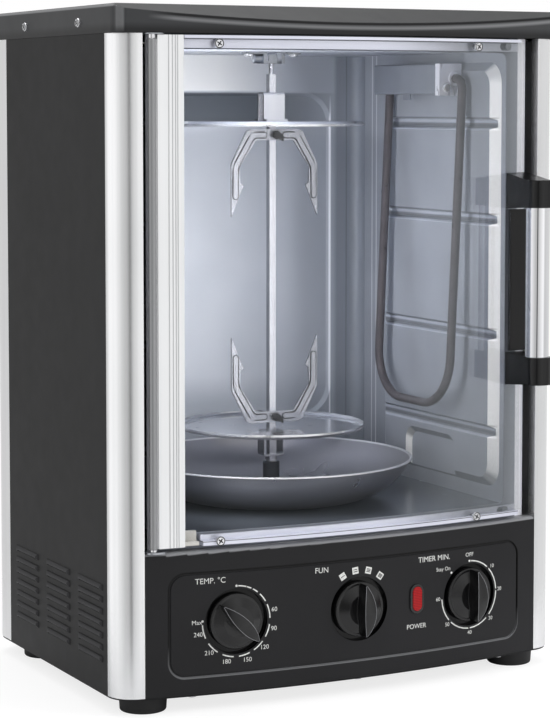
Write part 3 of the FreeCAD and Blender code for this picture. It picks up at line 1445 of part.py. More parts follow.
def pieces():
    """Every node's name with the function call that makes it."""
    temp_x, function_x, timer_x = knob_xs()
    left_panel = side_panel()
    right_liner = liner_right()
    front_post = corner_post(0.0)
    rear_post = rear_corner_post()
    return {
        "base_plate": base_plate(),
        "rubber_feet": rubber_feet(),
        "case_screws": case_screws(),
        "side_panel_left": left_panel,
        "side_panel_right": mirrored(left_panel),
        "back_panel": back_panel(),
        "cord_inlet": cord_inlet(),
        "front_post_left": front_post,
        "front_post_right": mirrored(front_post),
        "rear_post_left": rear_post,
        "rear_post_right": mirrored(rear_post),
        "top_cap": top_cap(),
        "control_panel": control_panel(),
        "cavity_frame": cavity_frame(),
        "liner_back": liner_back(),
        "liner_left": mirrored(right_liner),
        "liner_right": right_liner,
        "liner_ceiling": liner_ceiling(),
        "liner_floor": liner_floor(),
        "heating_element": heating_element(),
        "element_box": element_box(),
        "element_flange": element_flange(),
        "spit_hook": spit_hook(),
        "gear_motor": gear_motor(),
        "motor_bracket": motor_bracket(),
        "thermostat": on_panel(switch_body(*thermostat_size), temp_x, knob_height),
        "function_switch": on_panel(switch_body(*function_switch_size), function_x, knob_height),
        "timer": on_panel(switch_body(*timer_size), timer_x, knob_height),
        "lamp_lens": on_panel(lamp_lens(), lamp_x, lamp_z),
        "lamp_body": on_panel(lamp_body(), lamp_x, lamp_z),
        "hinge_pins": hinge_pins(),
        "hinge_plates": hinge_plates(),
        "door_glass": door_glass(),
        "hinge_stile": hinge_stile(),
        "top_rail": top_rail(),
        "bottom_rail": bottom_rail(),
        "rail_screws": rail_screws(),
        "door_catches": door_catches(),
        "stile_block": stile_block(),
        "handle_bracket_top": handle_bracket_top(),
        "handle_bracket_bottom": handle_bracket_bottom(),
        "handle_tube": handle_tube(),
        "handle_back_plate": handle_back_plate(),
        "temperature_knob": on_panel(turned_knob(temp_rest), temp_x, knob_height),
        "thermostat_shaft": on_panel(control_shaft(), temp_x, knob_height),
        "function_knob": on_panel(turned_knob(0.0), function_x, knob_height),
        "function_shaft": on_panel(control_shaft(), function_x, knob_height),
        "timer_knob": on_panel(turned_knob(0.0), timer_x, knob_height),
        "timer_shaft": on_panel(control_shaft(), timer_x, knob_height),
        "drive_coupling": drive_coupling(),
        "spit_rod": spit_rod(),
        "rotating_tray": rotating_tray(),
        "upper_disc": upper_disc(),
        "upper_bracket": upper_bracket(),
        "lower_bracket": lower_bracket(),
        "upper_fork": upper_fork(),
        "lower_fork": lower_fork(),
        "upper_thumb_screw": thumb_screw(upper_fork_z),
        "lower_thumb_screw": thumb_screw(lower_fork_z),
        "drip_pan": drip_pan(),
    }


def main():
    os.makedirs("parts", exist_ok=True)
    for name, shape in pieces().items():
        placed = shape.copy()
        placed.translate(V(0, origin_shift, 0))
        placed.exportStep(f"parts/{name}.step")
        state = "ok" if shape.isValid() else "INVALID"
        print(f"{name:24s} {state:8s} solids {len(shape.Solids):2d} volume {shape.Volume:12.1f}")


main()
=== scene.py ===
"""Looks of a tall countertop grill oven with a vertical spit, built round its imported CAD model.

The settings are kept in Blender's own metres and radians. Shapes are worked out in the CAD's millimetres, which
`read` gives, and `MM` turns them back. The oven's plan is drawn about the spit's axis, which lies `axis_y` behind
the frame's origin, as in the CAD source.
"""
import math
from types import SimpleNamespace

import bpy
import numpy as np
from bpy.props import FloatProperty, FloatVectorProperty, PointerProperty
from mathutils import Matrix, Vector


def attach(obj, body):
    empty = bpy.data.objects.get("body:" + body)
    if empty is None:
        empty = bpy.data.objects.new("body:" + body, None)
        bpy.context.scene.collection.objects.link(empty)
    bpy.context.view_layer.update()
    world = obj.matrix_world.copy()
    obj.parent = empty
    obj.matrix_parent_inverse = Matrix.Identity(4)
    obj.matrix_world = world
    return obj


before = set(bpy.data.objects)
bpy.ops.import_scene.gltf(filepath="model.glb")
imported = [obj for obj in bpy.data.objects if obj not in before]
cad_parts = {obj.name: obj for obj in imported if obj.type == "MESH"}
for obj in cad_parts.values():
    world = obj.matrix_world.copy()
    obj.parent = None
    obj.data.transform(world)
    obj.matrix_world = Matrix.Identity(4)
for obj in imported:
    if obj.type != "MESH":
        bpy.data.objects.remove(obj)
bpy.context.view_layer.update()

bl_info = {
    "name": "Vertical grill oven",
    "version": (1, 0, 0),
    "blender": (4, 5, 0),
    "location": "View3D > Sidebar > Grill oven",
    "description": "Adds the finishes, the printed dials and the studio of a vertical grill oven",
    "category": "Object",
}

MM = 0.001


# Colours and settings

def channel(value):
    """One sRGB channel, 0 to 255, as a linear value."""
    c = value / 255
    return c / 12.92 if c <= 0.04045 else ((c + 0.055) / 1.055) ** 2.4


def colour(code):
    """The linear RGBA of a hex code such as "2b2b2d". A colour that is linear already passes through."""
    if not isinstance(code, str):
        return tuple(code)
    return tuple(channel(int(code[i:i + 2], 16)) for i in (0, 2, 4)) + (1.0,)


def darker(tone, share):
    """A linear colour brought down to a share of itself."""
    return tuple(c * share for c in tone[:3]) + (1.0,)


def number(name, description, value, subtype):
    """A setting in Blender's own unit for its subtype."""
    return FloatProperty(name=name, description=description, default=value, subtype=subtype, precision=4)


def length(name, description, millimetres):
    """A setting that is written here in millimetres and kept in metres."""
    return number(name, description, millimetres * MM, "DISTANCE")


def tint(name, description, code):
    """A setting for a colour, written here as a hex code and kept linear."""
    return FloatVectorProperty(name=name, description=description, default=colour(code), subtype="COLOR", size=4,
                               min=0.0, max=1.0)


class PanelSettings(bpy.types.PropertyGroup):
    """The bowed front and the places of the printed marks."""
    axis_y: length("Spit axis", "How far the spit's axis lies behind the origin", 16.4)
    bow_radius: length("Bow radius", "Radius of the bowed front", 923.4138)
    bow_centre: length("Bow centre", "Y of the bow's centre from the spit's axis", 785.9138)
    proud: length("Ink", "How far the print stands before the panel", 0.06)
    knob_z: length("Knob height", "Height of the three knob axes", 63.6)
    temp_x: length("Temperature knob", "X of the left knob", -96.0)
    function_x: length("Function knob", "X of the middle knob", 1.5)
    timer_x: length("Timer knob", "X of the right knob", 99.0)
    recess: length("Recess", "Radius of the polished recess round each knob", 23.6)
    dash_radius: length("Dash circle", "Radius of the circle of dashes", 25.5)
    dash_width: length("Dash width", "Width of the printed dashes", 0.9)
    lamp_x: length("Lamp", "X of the power lamp", 50.7)
    line_half: length("Frame line", "Half width of the pressed frame line", 146.0)
    line_low: length("Frame line's foot", "Height of its lower run", 25.5)
    line_high: length("Frame line's top", "Height of its upper run", 100.5)
    line_corner: length("Frame line's corner", "Corner radius of the pressed line", 12.0)
    word_height: length("Words", "Cap height of the words over the dials", 4.0)
    word_z: length("Word height", "Height of the words over the dials", 93.9)


class KnobSettings(bpy.types.PropertyGroup):
    """The knobs' lens-shaped grip."""
    half: length("Half length", "From the middle of the grip to its end", 19.2)
    grip: length("Half width", "Half of the grip's widest part", 4.5)
    dome: length("Dome", "Radius of the dome that the grip's top follows", 30.0)
    reach: length("Reach", "How far the grip stands before the panel", 17.5)
    # the edge line is a painted highlight along the grip's edges
    edge: length("Edge", "Radius of the polished line along the grip's edges", 0.2)
    temp_turn: number("Rest", "Clockwise turn of the left knob", math.radians(135.0), "ANGLE")


class ForkSettings(bpy.types.PropertyGroup):
    """The forks' pressed ridges."""
    front: length("Face", "Y of the fork's front face from the spit's axis", -6.2)
    start: length("Start", "Where the ridge's middle line starts beside the screw", 9.0)
    shoulder: length("Shoulder", "Where it turns up into the prong", 19.0)
    spread: length("Spread", "Half spread of the prongs", 33.6)
    bend: length("Bend", "Height of the prong's bend over the web", 24.5)
    end: length("End", "Height of the ridge's end over the web", 47.0)
    half_width: length("Half width", "Half width of the ridge", 1.9)
    # the dark line is painted shade round the ridge
    line: length("Line", "Width of the dark line pressed round the ridge", 0.8)
    upper_z: length("Upper fork", "Height of the upper fork's screw", 407.0)
    lower_z: length("Lower fork", "Height of the lower fork's screw", 189.0)


class LooksSettings(bpy.types.PropertyGroup):
    """Colours, each the paler of its finish's two tones."""
    enamel: tint("Case", "Baked enamel of the case", "1f1f20")
    cap: tint("Cap", "Plastic of the cap", "3c3d3f")
    panel: tint("Panel", "Plastic of the control panel", "1c1c1e")
    knob: tint("Knobs", "Plastic of the three knobs", "101011")
    ink: tint("Print", "Ink of the numbers and words", "e6e7e4")
    lens: tint("Lamp", "Lens of the power lamp", "b0060f")
    coat: tint("Glass", "Metal coat of the door's glass", "9ea3a6")


class StudioSettings(bpy.types.PropertyGroup):
    """Camera and lights."""
    camera_x: length("Camera X", "From the spit's axis", -818.3)
    camera_y: length("Camera Y", "From the spit's axis", -1586.9)
    camera_z: length("Camera Z", "Over the table", 431.4)
    yaw: number("Yaw", "Turn of the view towards +X", math.radians(27.375), "ANGLE")
    pitch: number("Pitch", "Tilt of the view downwards", math.radians(4.204), "ANGLE")
    lens: number("Lens", "Focal length on a 36 mm sensor", 116.04, "DISTANCE_CAMERA")
    shift_y: number("Shift", "Vertical shift of the lens, as a share of the sensor", -0.12, "FACTOR")
    key: number("Key light", "Power of the left lamp", 7.0, "POWER")
    fill: number("Fill light", "Power of the right lamp", 21.0, "POWER")
    top: number("Top light", "Power of the overhead lamp", 8.0, "POWER")
    cavity: number("Cavity light", "Power of the lamp on the cavity's walls", 0.65, "POWER")
    ambient: number("Ambient", "Strength of the world on matt surfaces", 0.6, "FACTOR")


def read(name):
    """The values of a group of settings, with every length in millimetres."""
    group = getattr(bpy.context.scene, name)
    values = {key: getattr(group, key) for key in GROUPS[name].__annotations__}
    for key in values:
        if group.bl_rna.properties[key].unit == "LENGTH":
            values[key] /= MM
    return SimpleNamespace(**values)


# Shader nodes

def add(tree, kind, values=None, stops=(), output=0, **settings):
    """Adds one node and returns one of its outputs, the first unless `output` names another.

    `values` maps an input's name or number to a value or to another node's output, and `stops` are a colour ramp's
    places and linear colours.
    """
    node = tree.nodes.new("ShaderNode" + kind)
    for name, value in settings.items():
        setattr(node, name, value)
    for name, value in (values or {}).items():
        if isinstance(value, bpy.types.NodeSocket):
            tree.links.new(value, node.inputs[name])
        else:
            node.inputs[name].default_value = value
    for i, (position, tone) in enumerate(stops):
        elements = node.color_ramp.elements
        while len(elements) < len(stops):
            elements.new(0.5)
        elements[i].position = position
        elements[i].color = tone
    return node.outputs[output] if node.outputs else None


def every(millimetres):
    """The scale of a pattern on Object coordinates, in metres, whose largest spots are that far apart."""
    return 1 / (millimetres * MM)


def begin(name):
    """A new material. Returns it, its node tree and the place on the object."""
    material = bpy.data.materials.new(name)
    material.use_nodes = True
    tree = material.node_tree
    tree.nodes.clear()
    return material, tree, add(tree, "TexCoord", output="Object")


def surface(tree, values, height=None, depth=0.0, edge=0.0):
    """Ends a material with its shader. Sharp edges are shaded as if rounded by `edge`, and the pattern `height` is
    raised by `depth`, both in millimetres."""
    normal = {}
    if edge:
        normal = {"Normal": add(tree, "Bevel", {"Radius": edge * MM}, samples=4)}
    if height is not None:
        bump = {"Height": height, "Distance": depth * MM, "Strength": 1.0, **normal}
        normal = {"Normal": add(tree, "Bump", bump)}
    add(tree, "OutputMaterial", {"Surface": add(tree, "BsdfPrincipled", {**values, **normal})})


def plastic(name, low, high, rough, depth=0.02, size=0.714, gloss=0.45, edge=0.3):
    """Moulded plastic: the grain of a spark-eroded mould, `size` wide and `depth` deep in millimetres.

    Real grain is about 0.1 mm wide, and is drawn 0.7 mm wide, a pixel of the render, so that it shows. Slow flow
    in the mould leaves clouds of tone of 111 mm, and wiping leaves patches of gloss of 17 mm.
    """
    material, tree, place = begin(name)
    cloud = add(tree, "TexNoise", {"Vector": place, "Scale": every(111), "Detail": 3.0})
    tone = add(tree, "ValToRGB", {"Fac": cloud}, stops=((0.3, colour(low)), (0.7, colour(high))))
    wiped = add(tree, "TexNoise", {"Vector": place, "Scale": every(16.7), "Detail": 3.0})
    dull = add(tree, "MapRange", {"Value": wiped, "To Min": rough - 0.05, "To Max": rough + 0.07})
    grain = add(tree, "TexNoise", {"Vector": place, "Scale": every(size), "Detail": 2.0})
    surface(tree, {"Base Color": tone, "Roughness": dull, "Specular IOR Level": gloss}, grain, depth, edge)
    return material


def metal(name, low, high, rough, stretch=(1, 1, 1), size=8.33, depth=0.01, metallic=1.0, streak=0.08, edge=0.3):
    """Sheet or drawn metal: streaks of tone, gloss and relief from how it was made, under a cloudy tarnish.

    The widest streaks are `size` millimetres wide, and the noise adds finer ones down to a sixteenth of that, as
    fine as the render shows. A number under 1 in `stretch` draws them out along that axis, and one over 1 packs
    them. The tarnish lies in clouds of 143 mm.
    """
    material, tree, place = begin(name)
    along = add(tree, "Mapping", {"Vector": place, "Scale": stretch})
    grain = add(tree, "TexNoise", {"Vector": along, "Scale": every(size), "Detail": 4.0})
    cloud = add(tree, "TexNoise", {"Vector": place, "Scale": every(143), "Detail": 2.0})
    both = add(tree, "Math", {0: grain, 1: cloud}, operation="ADD")
    half = add(tree, "Math", {0: both, 1: 0.5}, operation="MULTIPLY")
    tone = add(tree, "ValToRGB", {"Fac": half}, stops=((0.35, colour(low)), (0.65, colour(high))))
    spread = {"Value": grain, "To Min": max(rough - streak, 0.02), "To Max": rough + streak}
    dull = add(tree, "MapRange", spread)
    surface(tree, {"Base Color": tone, "Roughness": dull, "Metallic": metallic}, grain, depth, edge)
    return material


def between(tree, value, low, high, soft, share=1.0):
    """`share` where a value in metres lies between two in millimetres, faded over `soft` at each, else 0."""
    rise = {"Value": value, "From Min": (low - soft) * MM, "From Max": (low + soft) * MM}
    fall = {"Value": value, "From Min": (high + soft) * MM, "From Max": (high - soft) * MM}
    for edge in (rise, fall):
        near = add(tree, "MapRange", edge)
        share = add(tree, "Math", {0: near, 1: share}, operation="MULTIPLY")
    return share


def within(tree, share, limits):
    """`share` inside the limits x, y or z=(low, high, soft) in the frame's millimetres, and 0 outside them."""
    place = add(tree, "TexCoord", output="Object")
    for axis, (low, high, soft) in limits.items():
        value = add(tree, "SeparateXYZ", {"Vector": place}, output=axis.upper())
        share = between(tree, value, low, high, soft, share)
    return share


def cover(material, mask, code):
    """Mixes a colour over a finish's own by a mask."""
    tree = material.node_tree
    base = tree.nodes["Principled BSDF"].inputs["Base Color"]
    mixed = add(tree, "MixRGB", {"Fac": mask, "Color1": base.links[0].from_socket, "Color2": colour(code)})
    tree.links.new(mixed, base)


def paint(material, code, share=1.0, **limits):
    """Mixes a colour into a finish inside limits."""
    cover(material, within(material.node_tree, share, limits), code)


def slope(material, axis, low, high, code, share, **limits):
    """Mixes a colour in where the surface's own normal has a part along an axis between two values."""
    tree = material.node_tree
    normal = add(tree, "SeparateXYZ", {"Vector": add(tree, "TexCoord", output="Normal")}, output=axis)
    middle, half = (low + high) / 2, (high - low) / 2
    away = add(tree, "Math", {0: normal, 1: middle}, operation="SUBTRACT")
    off = add(tree, "Math", {0: away}, operation="ABSOLUTE")
    fade = {"Value": off, "From Min": half * 0.6, "From Max": half, "To Min": 1.0, "To Max": 0.0}
    near = add(tree, "MapRange", fade)
    mask = add(tree, "Math", {0: near, 1: within(tree, share, limits)}, operation="MULTIPLY")
    cover(material, mask, code)


def grooves(material, heights, reach, profile, **limits):
    """Paints light and shade across level grooves, brightening and darkening a finish there. The profile gives
    places across a groove, 0 to 1, and gains there. A colour ramp holds half of each gain, because it ends at 1."""
    tree = material.node_tree
    base = tree.nodes["Principled BSDF"].inputs["Base Color"]
    height = add(tree, "SeparateXYZ", {"Vector": add(tree, "TexCoord", output="Object")}, output="Z")
    mask = within(tree, 1.0, limits)
    stops = [(position, (gain / 2, gain / 2, gain / 2, 1.0)) for position, gain in profile]
    for z in heights:
        ends = {"Value": height, "From Min": (z - reach) * MM, "From Max": (z + reach) * MM}
        across = add(tree, "MapRange", ends)
        halves = add(tree, "ValToRGB", {"Fac": across}, stops)
        change = add(tree, "Math", {0: halves, 1: 2.0, 2: -1.0}, operation="MULTIPLY_ADD")
        gain = add(tree, "Math", {0: change, 1: mask, 2: 1.0}, operation="MULTIPLY_ADD")
        scaled = add(tree, "VectorMath", {0: base.links[0].from_socket, "Scale": gain}, operation="SCALE")
        tree.links.new(scaled, base)


def near_knobs(tree, place, radius):
    """1 within `radius` millimetres of a knob's axis on the panel, else 0."""
    panel = read("oven_panel")
    flat = add(tree, "VectorMath", {0: place, 1: (1, 0, 1)}, operation="MULTIPLY")
    inside = 0.0
    for x in (panel.temp_x, panel.function_x, panel.timer_x):
        centre = (x * MM, 0.0, panel.knob_z * MM)
        away = add(tree, "VectorMath", {0: flat, 1: centre}, output="Value", operation="DISTANCE")
        hit = add(tree, "Math", {0: away, 1: radius * MM}, operation="LESS_THAN")
        inside = add(tree, "Math", {0: inside, 1: hit}, operation="MAXIMUM")
    return inside


def frame_line(tree, place):
    """1 on the rounded line pressed round the controls, 1.2 mm wide, else 0.

    The line is where the distance to a box with round corners is near 0: the length of the offset from the box's
    middle, made positive, past its core, less the corners' radius.
    """
    panel = read("oven_panel")
    middle = (0.0, 0.0, (panel.line_low + panel.line_high) / 2 * MM)
    half = (panel.line_high - panel.line_low) / 2
    core = ((panel.line_half - panel.line_corner) * MM, 1.0, (half - panel.line_corner) * MM)
    away = add(tree, "VectorMath", {0: place, 1: middle}, operation="SUBTRACT")
    size = add(tree, "VectorMath", {0: away}, operation="ABSOLUTE")
    past = add(tree, "VectorMath", {0: size, 1: core}, operation="SUBTRACT")
    outside = add(tree, "VectorMath", {0: past, 1: (0, 0, 0)}, operation="MAXIMUM")
    reach = add(tree, "VectorMath", {0: outside}, output="Value", operation="LENGTH")
    off = add(tree, "Math", {0: reach, 1: panel.line_corner * MM}, operation="SUBTRACT")
    near = add(tree, "Math", {0: off}, operation="ABSOLUTE")
    fade = {"Value": near, "From Min": 0.6 * MM, "From Max": 0.9 * MM, "To Min": 1.0, "To Max": 0.0}
    return add(tree, "MapRange", fade)


# Finishes. Limits and heights are in the frame's millimetres.

def case_enamel(tone):
    """Enamel baked on pressed steel sheet: satin, with a faint orange peel of 2 mm that breaks its highlights."""
    enamel = plastic("black_baked_enamel", darker(tone, 0.68), tone, 0.42, size=2.0, gloss=0.16)
    # painted highlight: the sheet's inner side beside the door is painted white, so it shows as a bright lit strip
    slope(enamel, "X", -1.3, -0.7, "ffffff", 1.0, x=(150, 183, 1))
    # louvres stand proud and are painted paler, a painted highlight on their raised faces
    for low, high in ((-190.0, -183.6), (183.6, 190.0)):
        paint(enamel, "303032", 1.0, x=(low, high, 0.3))
    return enamel


def cap_plastic(tone):
    """Heat-resistant plastic, moulded with a 1.1 mm grain: a painted sheen on its rounded crease, and painted
    shade on its lower edge."""
    cap = plastic("cap_moulded_plastic", darker(tone, 0.763), tone, 0.4, depth=0.015, size=1.11, gloss=0.3,
                  edge=1.4)
    # painted shade along the lower edge
    paint(cap, "101011", 0.8, z=(470, 484.5, 2.5))
    # painted light on the left front corner and the left upper edge, and painted half shade on the sloped facet
    slope(cap, "X", -0.95, -0.3, "9a9b9d", 0.36, y=(-115, -85, 3), z=(482, 500, 3))
    slope(cap, "Z", 0.15, 0.85, "a0a1a3", 0.5, x=(-190, -178, 1))
    slope(cap, "Y", -0.6, -0.3, "1c1d1e", 0.5)
    # the facet rises by this much for each millimetre towards the back, so that z less this much of y is the same
    # all over it, and 551.2 at its crease with the bowed front
    facet_rise = 0.517
    tree = cap.node_tree
    over = {0: add(tree, "TexCoord", output="Object"), 1: (0, -facet_rise, 1)}
    height = add(tree, "VectorMath", over, output="Value", operation="DOT_PRODUCT")
    # a painted highlight a little below the crease, and a dark line of painted shade just under it
    highlight = (546.2, 548.4, 0.9, 0.6, "8a8b8d")
    crease_shade = (549.4, 550.9, 0.2, 0.9, "060607")
    for low, high, soft, share, code in (highlight, crease_shade):
        line = between(tree, height, low, high, soft, share)
        cover(cap, within(tree, line, {"x": (-150, 190, 10), "z": (470, 498, 0.5)}), code)
    return cap


def panel_plastic(tone):
    """Black plastic from a spark-eroded mould that is polished in the knobs' recesses: a dull, even black, and a
    dark gloss there that mirrors the knobs."""
    material, tree, place = begin("panel_moulded_plastic")
    cloud = add(tree, "TexNoise", {"Vector": place, "Scale": every(111), "Detail": 3.0})
    stops = ((0.3, darker(tone, 0.69)), (0.7, colour(tone)))
    tones = add(tree, "ValToRGB", {"Fac": cloud}, stops)
    inside = near_knobs(tree, place, read("oven_panel").recess)
    base = add(tree, "MixRGB", {"Fac": inside, "Color1": tones, "Color2": colour("040405")})
    dull = add(tree, "MapRange", {"Value": inside, "To Min": 0.42, "To Max": 0.12})
    grain = add(tree, "TexNoise", {"Vector": place, "Scale": every(0.714), "Detail": 2.0})
    surface(tree, {"Base Color": base, "Roughness": dull, "Specular IOR Level": 0.25}, grain, 0.012, 0.8)
    # painted shadow in the pressed line, and painted highlights on its lower run and on the panel's top edge
    line = frame_line(tree, place)
    cover(material, line, "020202")
    cover(material, within(tree, line, {"z": (-20, 36, 13)}), "6c6d6f")
    slope(material, "Z", 0.3, 1.3, "9a9b9e", 0.75, z=(112.5, 117, 0.2))
    return material


def wall_steel():
    """Aluminised sheet, dip coated and pressed: a satin grey in soft spangles of 39 mm. Slopes that face the door
    have a painted highlight, and grooves have painted shade with painted bright edges."""
    wall = metal("aluminised_wall_steel", "9297a2", "a2a7b2", 0.34, size=38.5, metallic=0.4, streak=0.05, edge=0.6)
    # painted highlight on slopes that face the door, and painted shade on low faces that look down
    slope(wall, "Y", -0.85, -0.15, "ffffff", 0.95, y=(-130, 80, 2))
    slope(wall, "Z", -0.95, -0.15, "4a505b", 0.6, z=(120, 182, 1))
    # painted light and shade across the grooves
    profile = ((0.0, 1.0), (0.04, 1.7), (0.14, 1.7), (0.2, 0.8), (0.34, 0.45), (0.5, 0.6), (0.6, 1.35), (0.8, 1.3),
               (0.88, 0.5), (0.95, 0.6), (1.0, 1.0))
    grooves(wall, (180.0, 254.8, 342.6, 415.4), 5.2, profile, y=(-88, 82, 2))
    # two painted highlight lines where the sheet is folded to meet the back wall
    for y in (99.0, 106.0):
        paint(wall, "f4f5fa", 0.8, y=(y - 0.5, y + 0.5, 0.4))
    return wall


def back_steel():
    """Aluminised sheet, pale in the middle, with soft-edged bands of painted shade, light and reflection."""
    wall = metal("back_wall_steel_painted_light_and_shade", "bfc4ce", "cbcfd8", 0.34, size=38.5, metallic=0.4, streak=0.05, edge=0.6)
    # painted shade towards the right, a painted dark reflection of the disc at the top of the pressed field,
    # painted shade behind the pan, a painted highlight on the strip over the field, and painted shade by the fold
    paint(wall, "9ba1ad", 0.9, x=(90, 200, 60))
    paint(wall, "3c434c", 0.9, x=(-200, 92, 34), z=(412, 439.4, 0.8))
    paint(wall, "8d949f", 0.6, z=(100, 196, 12))
    paint(wall, "ffffff", 0.8, x=(-200, 40, 30), z=(441, 480, 0.6))
    paint(wall, "666c77", 0.6, x=(118, 150, 2))
    # a painted highlight line and a painted shade line along the fold
    paint(wall, "f6f8ff", 0.9, x=(112.6, 113.9, 0.4), z=(100, 430, 8))
    paint(wall, "3c434c", 0.5, x=(128.4, 129.2, 0.4))
    return wall


def mirror_glass(tone):
    """Float glass with a vapour-deposited metal coat: clear at the hinge, and a grey mirror towards the handle,
    with a faint haze of 25 mm. Its free edge is left clear."""
    material, tree, place = begin("coated_door_glass")
    across = add(tree, "SeparateXYZ", {"Vector": place}, output="X")
    fade = {"Value": across, "From Min": 20 * MM, "From Max": 115 * MM, "To Min": 0.02, "To Max": 0.27}
    coat = add(tree, "MapRange", fade, interpolation_type="SMOOTHSTEP")
    up_to_edge = within(tree, 1.0, {"x": (-200, 149.5, 0.4)})
    share = add(tree, "Math", {0: coat, 1: up_to_edge}, operation="MULTIPLY")
    haze = add(tree, "TexNoise", {"Vector": place, "Scale": every(25), "Detail": 3.0})
    dull = add(tree, "MapRange", {"Value": haze, "To Min": 0.0, "To Max": 0.02})
    surface(tree, {"Base Color": colour(tone), "Metallic": 1.0, "Roughness": dull, "Alpha": share})
    return material


def lamp_plastic(tone):
    """Polished red acrylic with moulded ribs inside, 1.2 mm apart, that band it light and dark under its gloss.

    A wave texture of scale 1 repeats every pi / 10 metres.
    """
    material, tree, place = begin("red_lamp_lens")
    wave = {"Vector": place, "Scale": math.pi / 10 * every(1.208), "Distortion": 0.0}
    ribs = add(tree, "TexWave", wave, output="Fac", bands_direction="Z")
    stops = ((0.2, darker(tone, 0.448)), (0.9, colour(tone)))
    tones = add(tree, "ValToRGB", {"Fac": ribs}, stops)
    surface(tree, {"Base Color": tones, "Roughness": 0.12, "Specular IOR Level": 0.2, "Coat Weight": 0.25,
                   "Coat Roughness": 0.04}, edge=0.3)
    return material


def ink(tone):
    """Screen-printed ink, matt, a little uneven over the panel's grain, in spots of 1.4 mm."""
    material, tree, place = begin("white_screen_print")
    spots = add(tree, "TexNoise", {"Vector": place, "Scale": every(1.43), "Detail": 3.0})
    stops = ((0.3, darker(tone, 0.738)), (0.7, colour(tone)))
    surface(tree, {"Base Color": add(tree, "ValToRGB", {"Fac": spots}, stops), "Roughness": 0.5})
    return material


def stile_aluminium():
    """Extruded, white anodised aluminium: long fine die lines, painted grey shadow in its grooves and painted
    shade on the barrel.
    """
    stile = metal("bright_anodised_aluminium", "eaebec", "f4f5f6", 0.34, (1, 1, 0.004), 3.85, depth=0.002,
                  metallic=0.6, streak=0.04, edge=0.1)
    # painted shadow in the four grooves
    for x in (-145.6, -142.8, -140.6, -139.0):
        paint(stile, "8c8d90", 0.6, x=(x - 0.2, x + 0.2, 0.25))
    # painted shade on the barrel, beside the post
    paint(stile, "77787a", 0.8, x=(-165.0, -154.6, 0.3))
    return stile


def rail_aluminium():
    """Extruded aluminium, anodised with a lilac cast: die lines along X, and painted shade in the gap between face
    and lip.
    """
    rail = metal("lilac_anodised_aluminium", "d8dae8", "e6e8f4", 0.3, (0.02, 1, 1), 3.85, depth=0.002,
                 metallic=0.6, streak=0.04, edge=0.2)
    # painted shade in the gap between face and lip, on the top rail and the bottom rail
    for low, high in ((475.5, 476.2), (121.9, 122.5)):
        paint(rail, "3c3e44", 0.85, z=(low, high, 0.15))
    return rail


def frame_steel():
    """Satin sheet, rolled along X, round the cavity's mouth: nearly white, with painted shade next to the mouth.
    """
    sheet = metal("satin_steel_sheet", "f0f1fa", "fafaff", 0.4, (0.05, 1, 1), 3.33, depth=0.003, metallic=0.3)
    # painted shade next to the mouth
    paint(sheet, "5d6470", 0.85, x=(-149.5, 149.5, 0.6))
    return sheet


def spit_steel(name, low, high):
    """Stainless steel, drawn or blanked: bright faces with fine lines along Z, and painted shade on the sides that
    face left and right.
    """
    steel = metal(name, low, high, 0.2, (1, 1, 0.05), 3.33, depth=0.002, metallic=0.8, streak=0.05, edge=0.15)
    # painted shade on the sides that face -X and +X
    slope(steel, "X", -1.4, -0.55, "3c3f47", 0.85)
    slope(steel, "X", 0.55, 1.4, "3c3f47", 0.7)
    return steel


def disc_steel():
    """Spun stainless sheet: a clean mirror-like face, with a painted highlight along its turned rim."""
    steel = metal("stainless_disc_steel", "bcbfc8", "ced1d8", 0.14, size=16.7, depth=0.002, metallic=0.9,
                  streak=0.04)
    # painted highlight on the rim
    slope(steel, "Z", -0.6, 0.6, "ffffff", 0.5)
    return steel


def pan_steel():
    """Deep-drawn steel, satin and darkened a little by heat in patches of 50 mm, with a painted highlight on its
    turned edge.
    """
    steel = metal("heat_darkened_pan_steel", "a09fa4", "a8a7ac", 0.28, size=50, depth=0.0005, metallic=0.85,
                  streak=0.02, edge=0.2)
    # painted highlight on the turned edge
    paint(steel, "f6f6f8", 0.9, z=(156.9, 160.0, 0.3))
    return steel


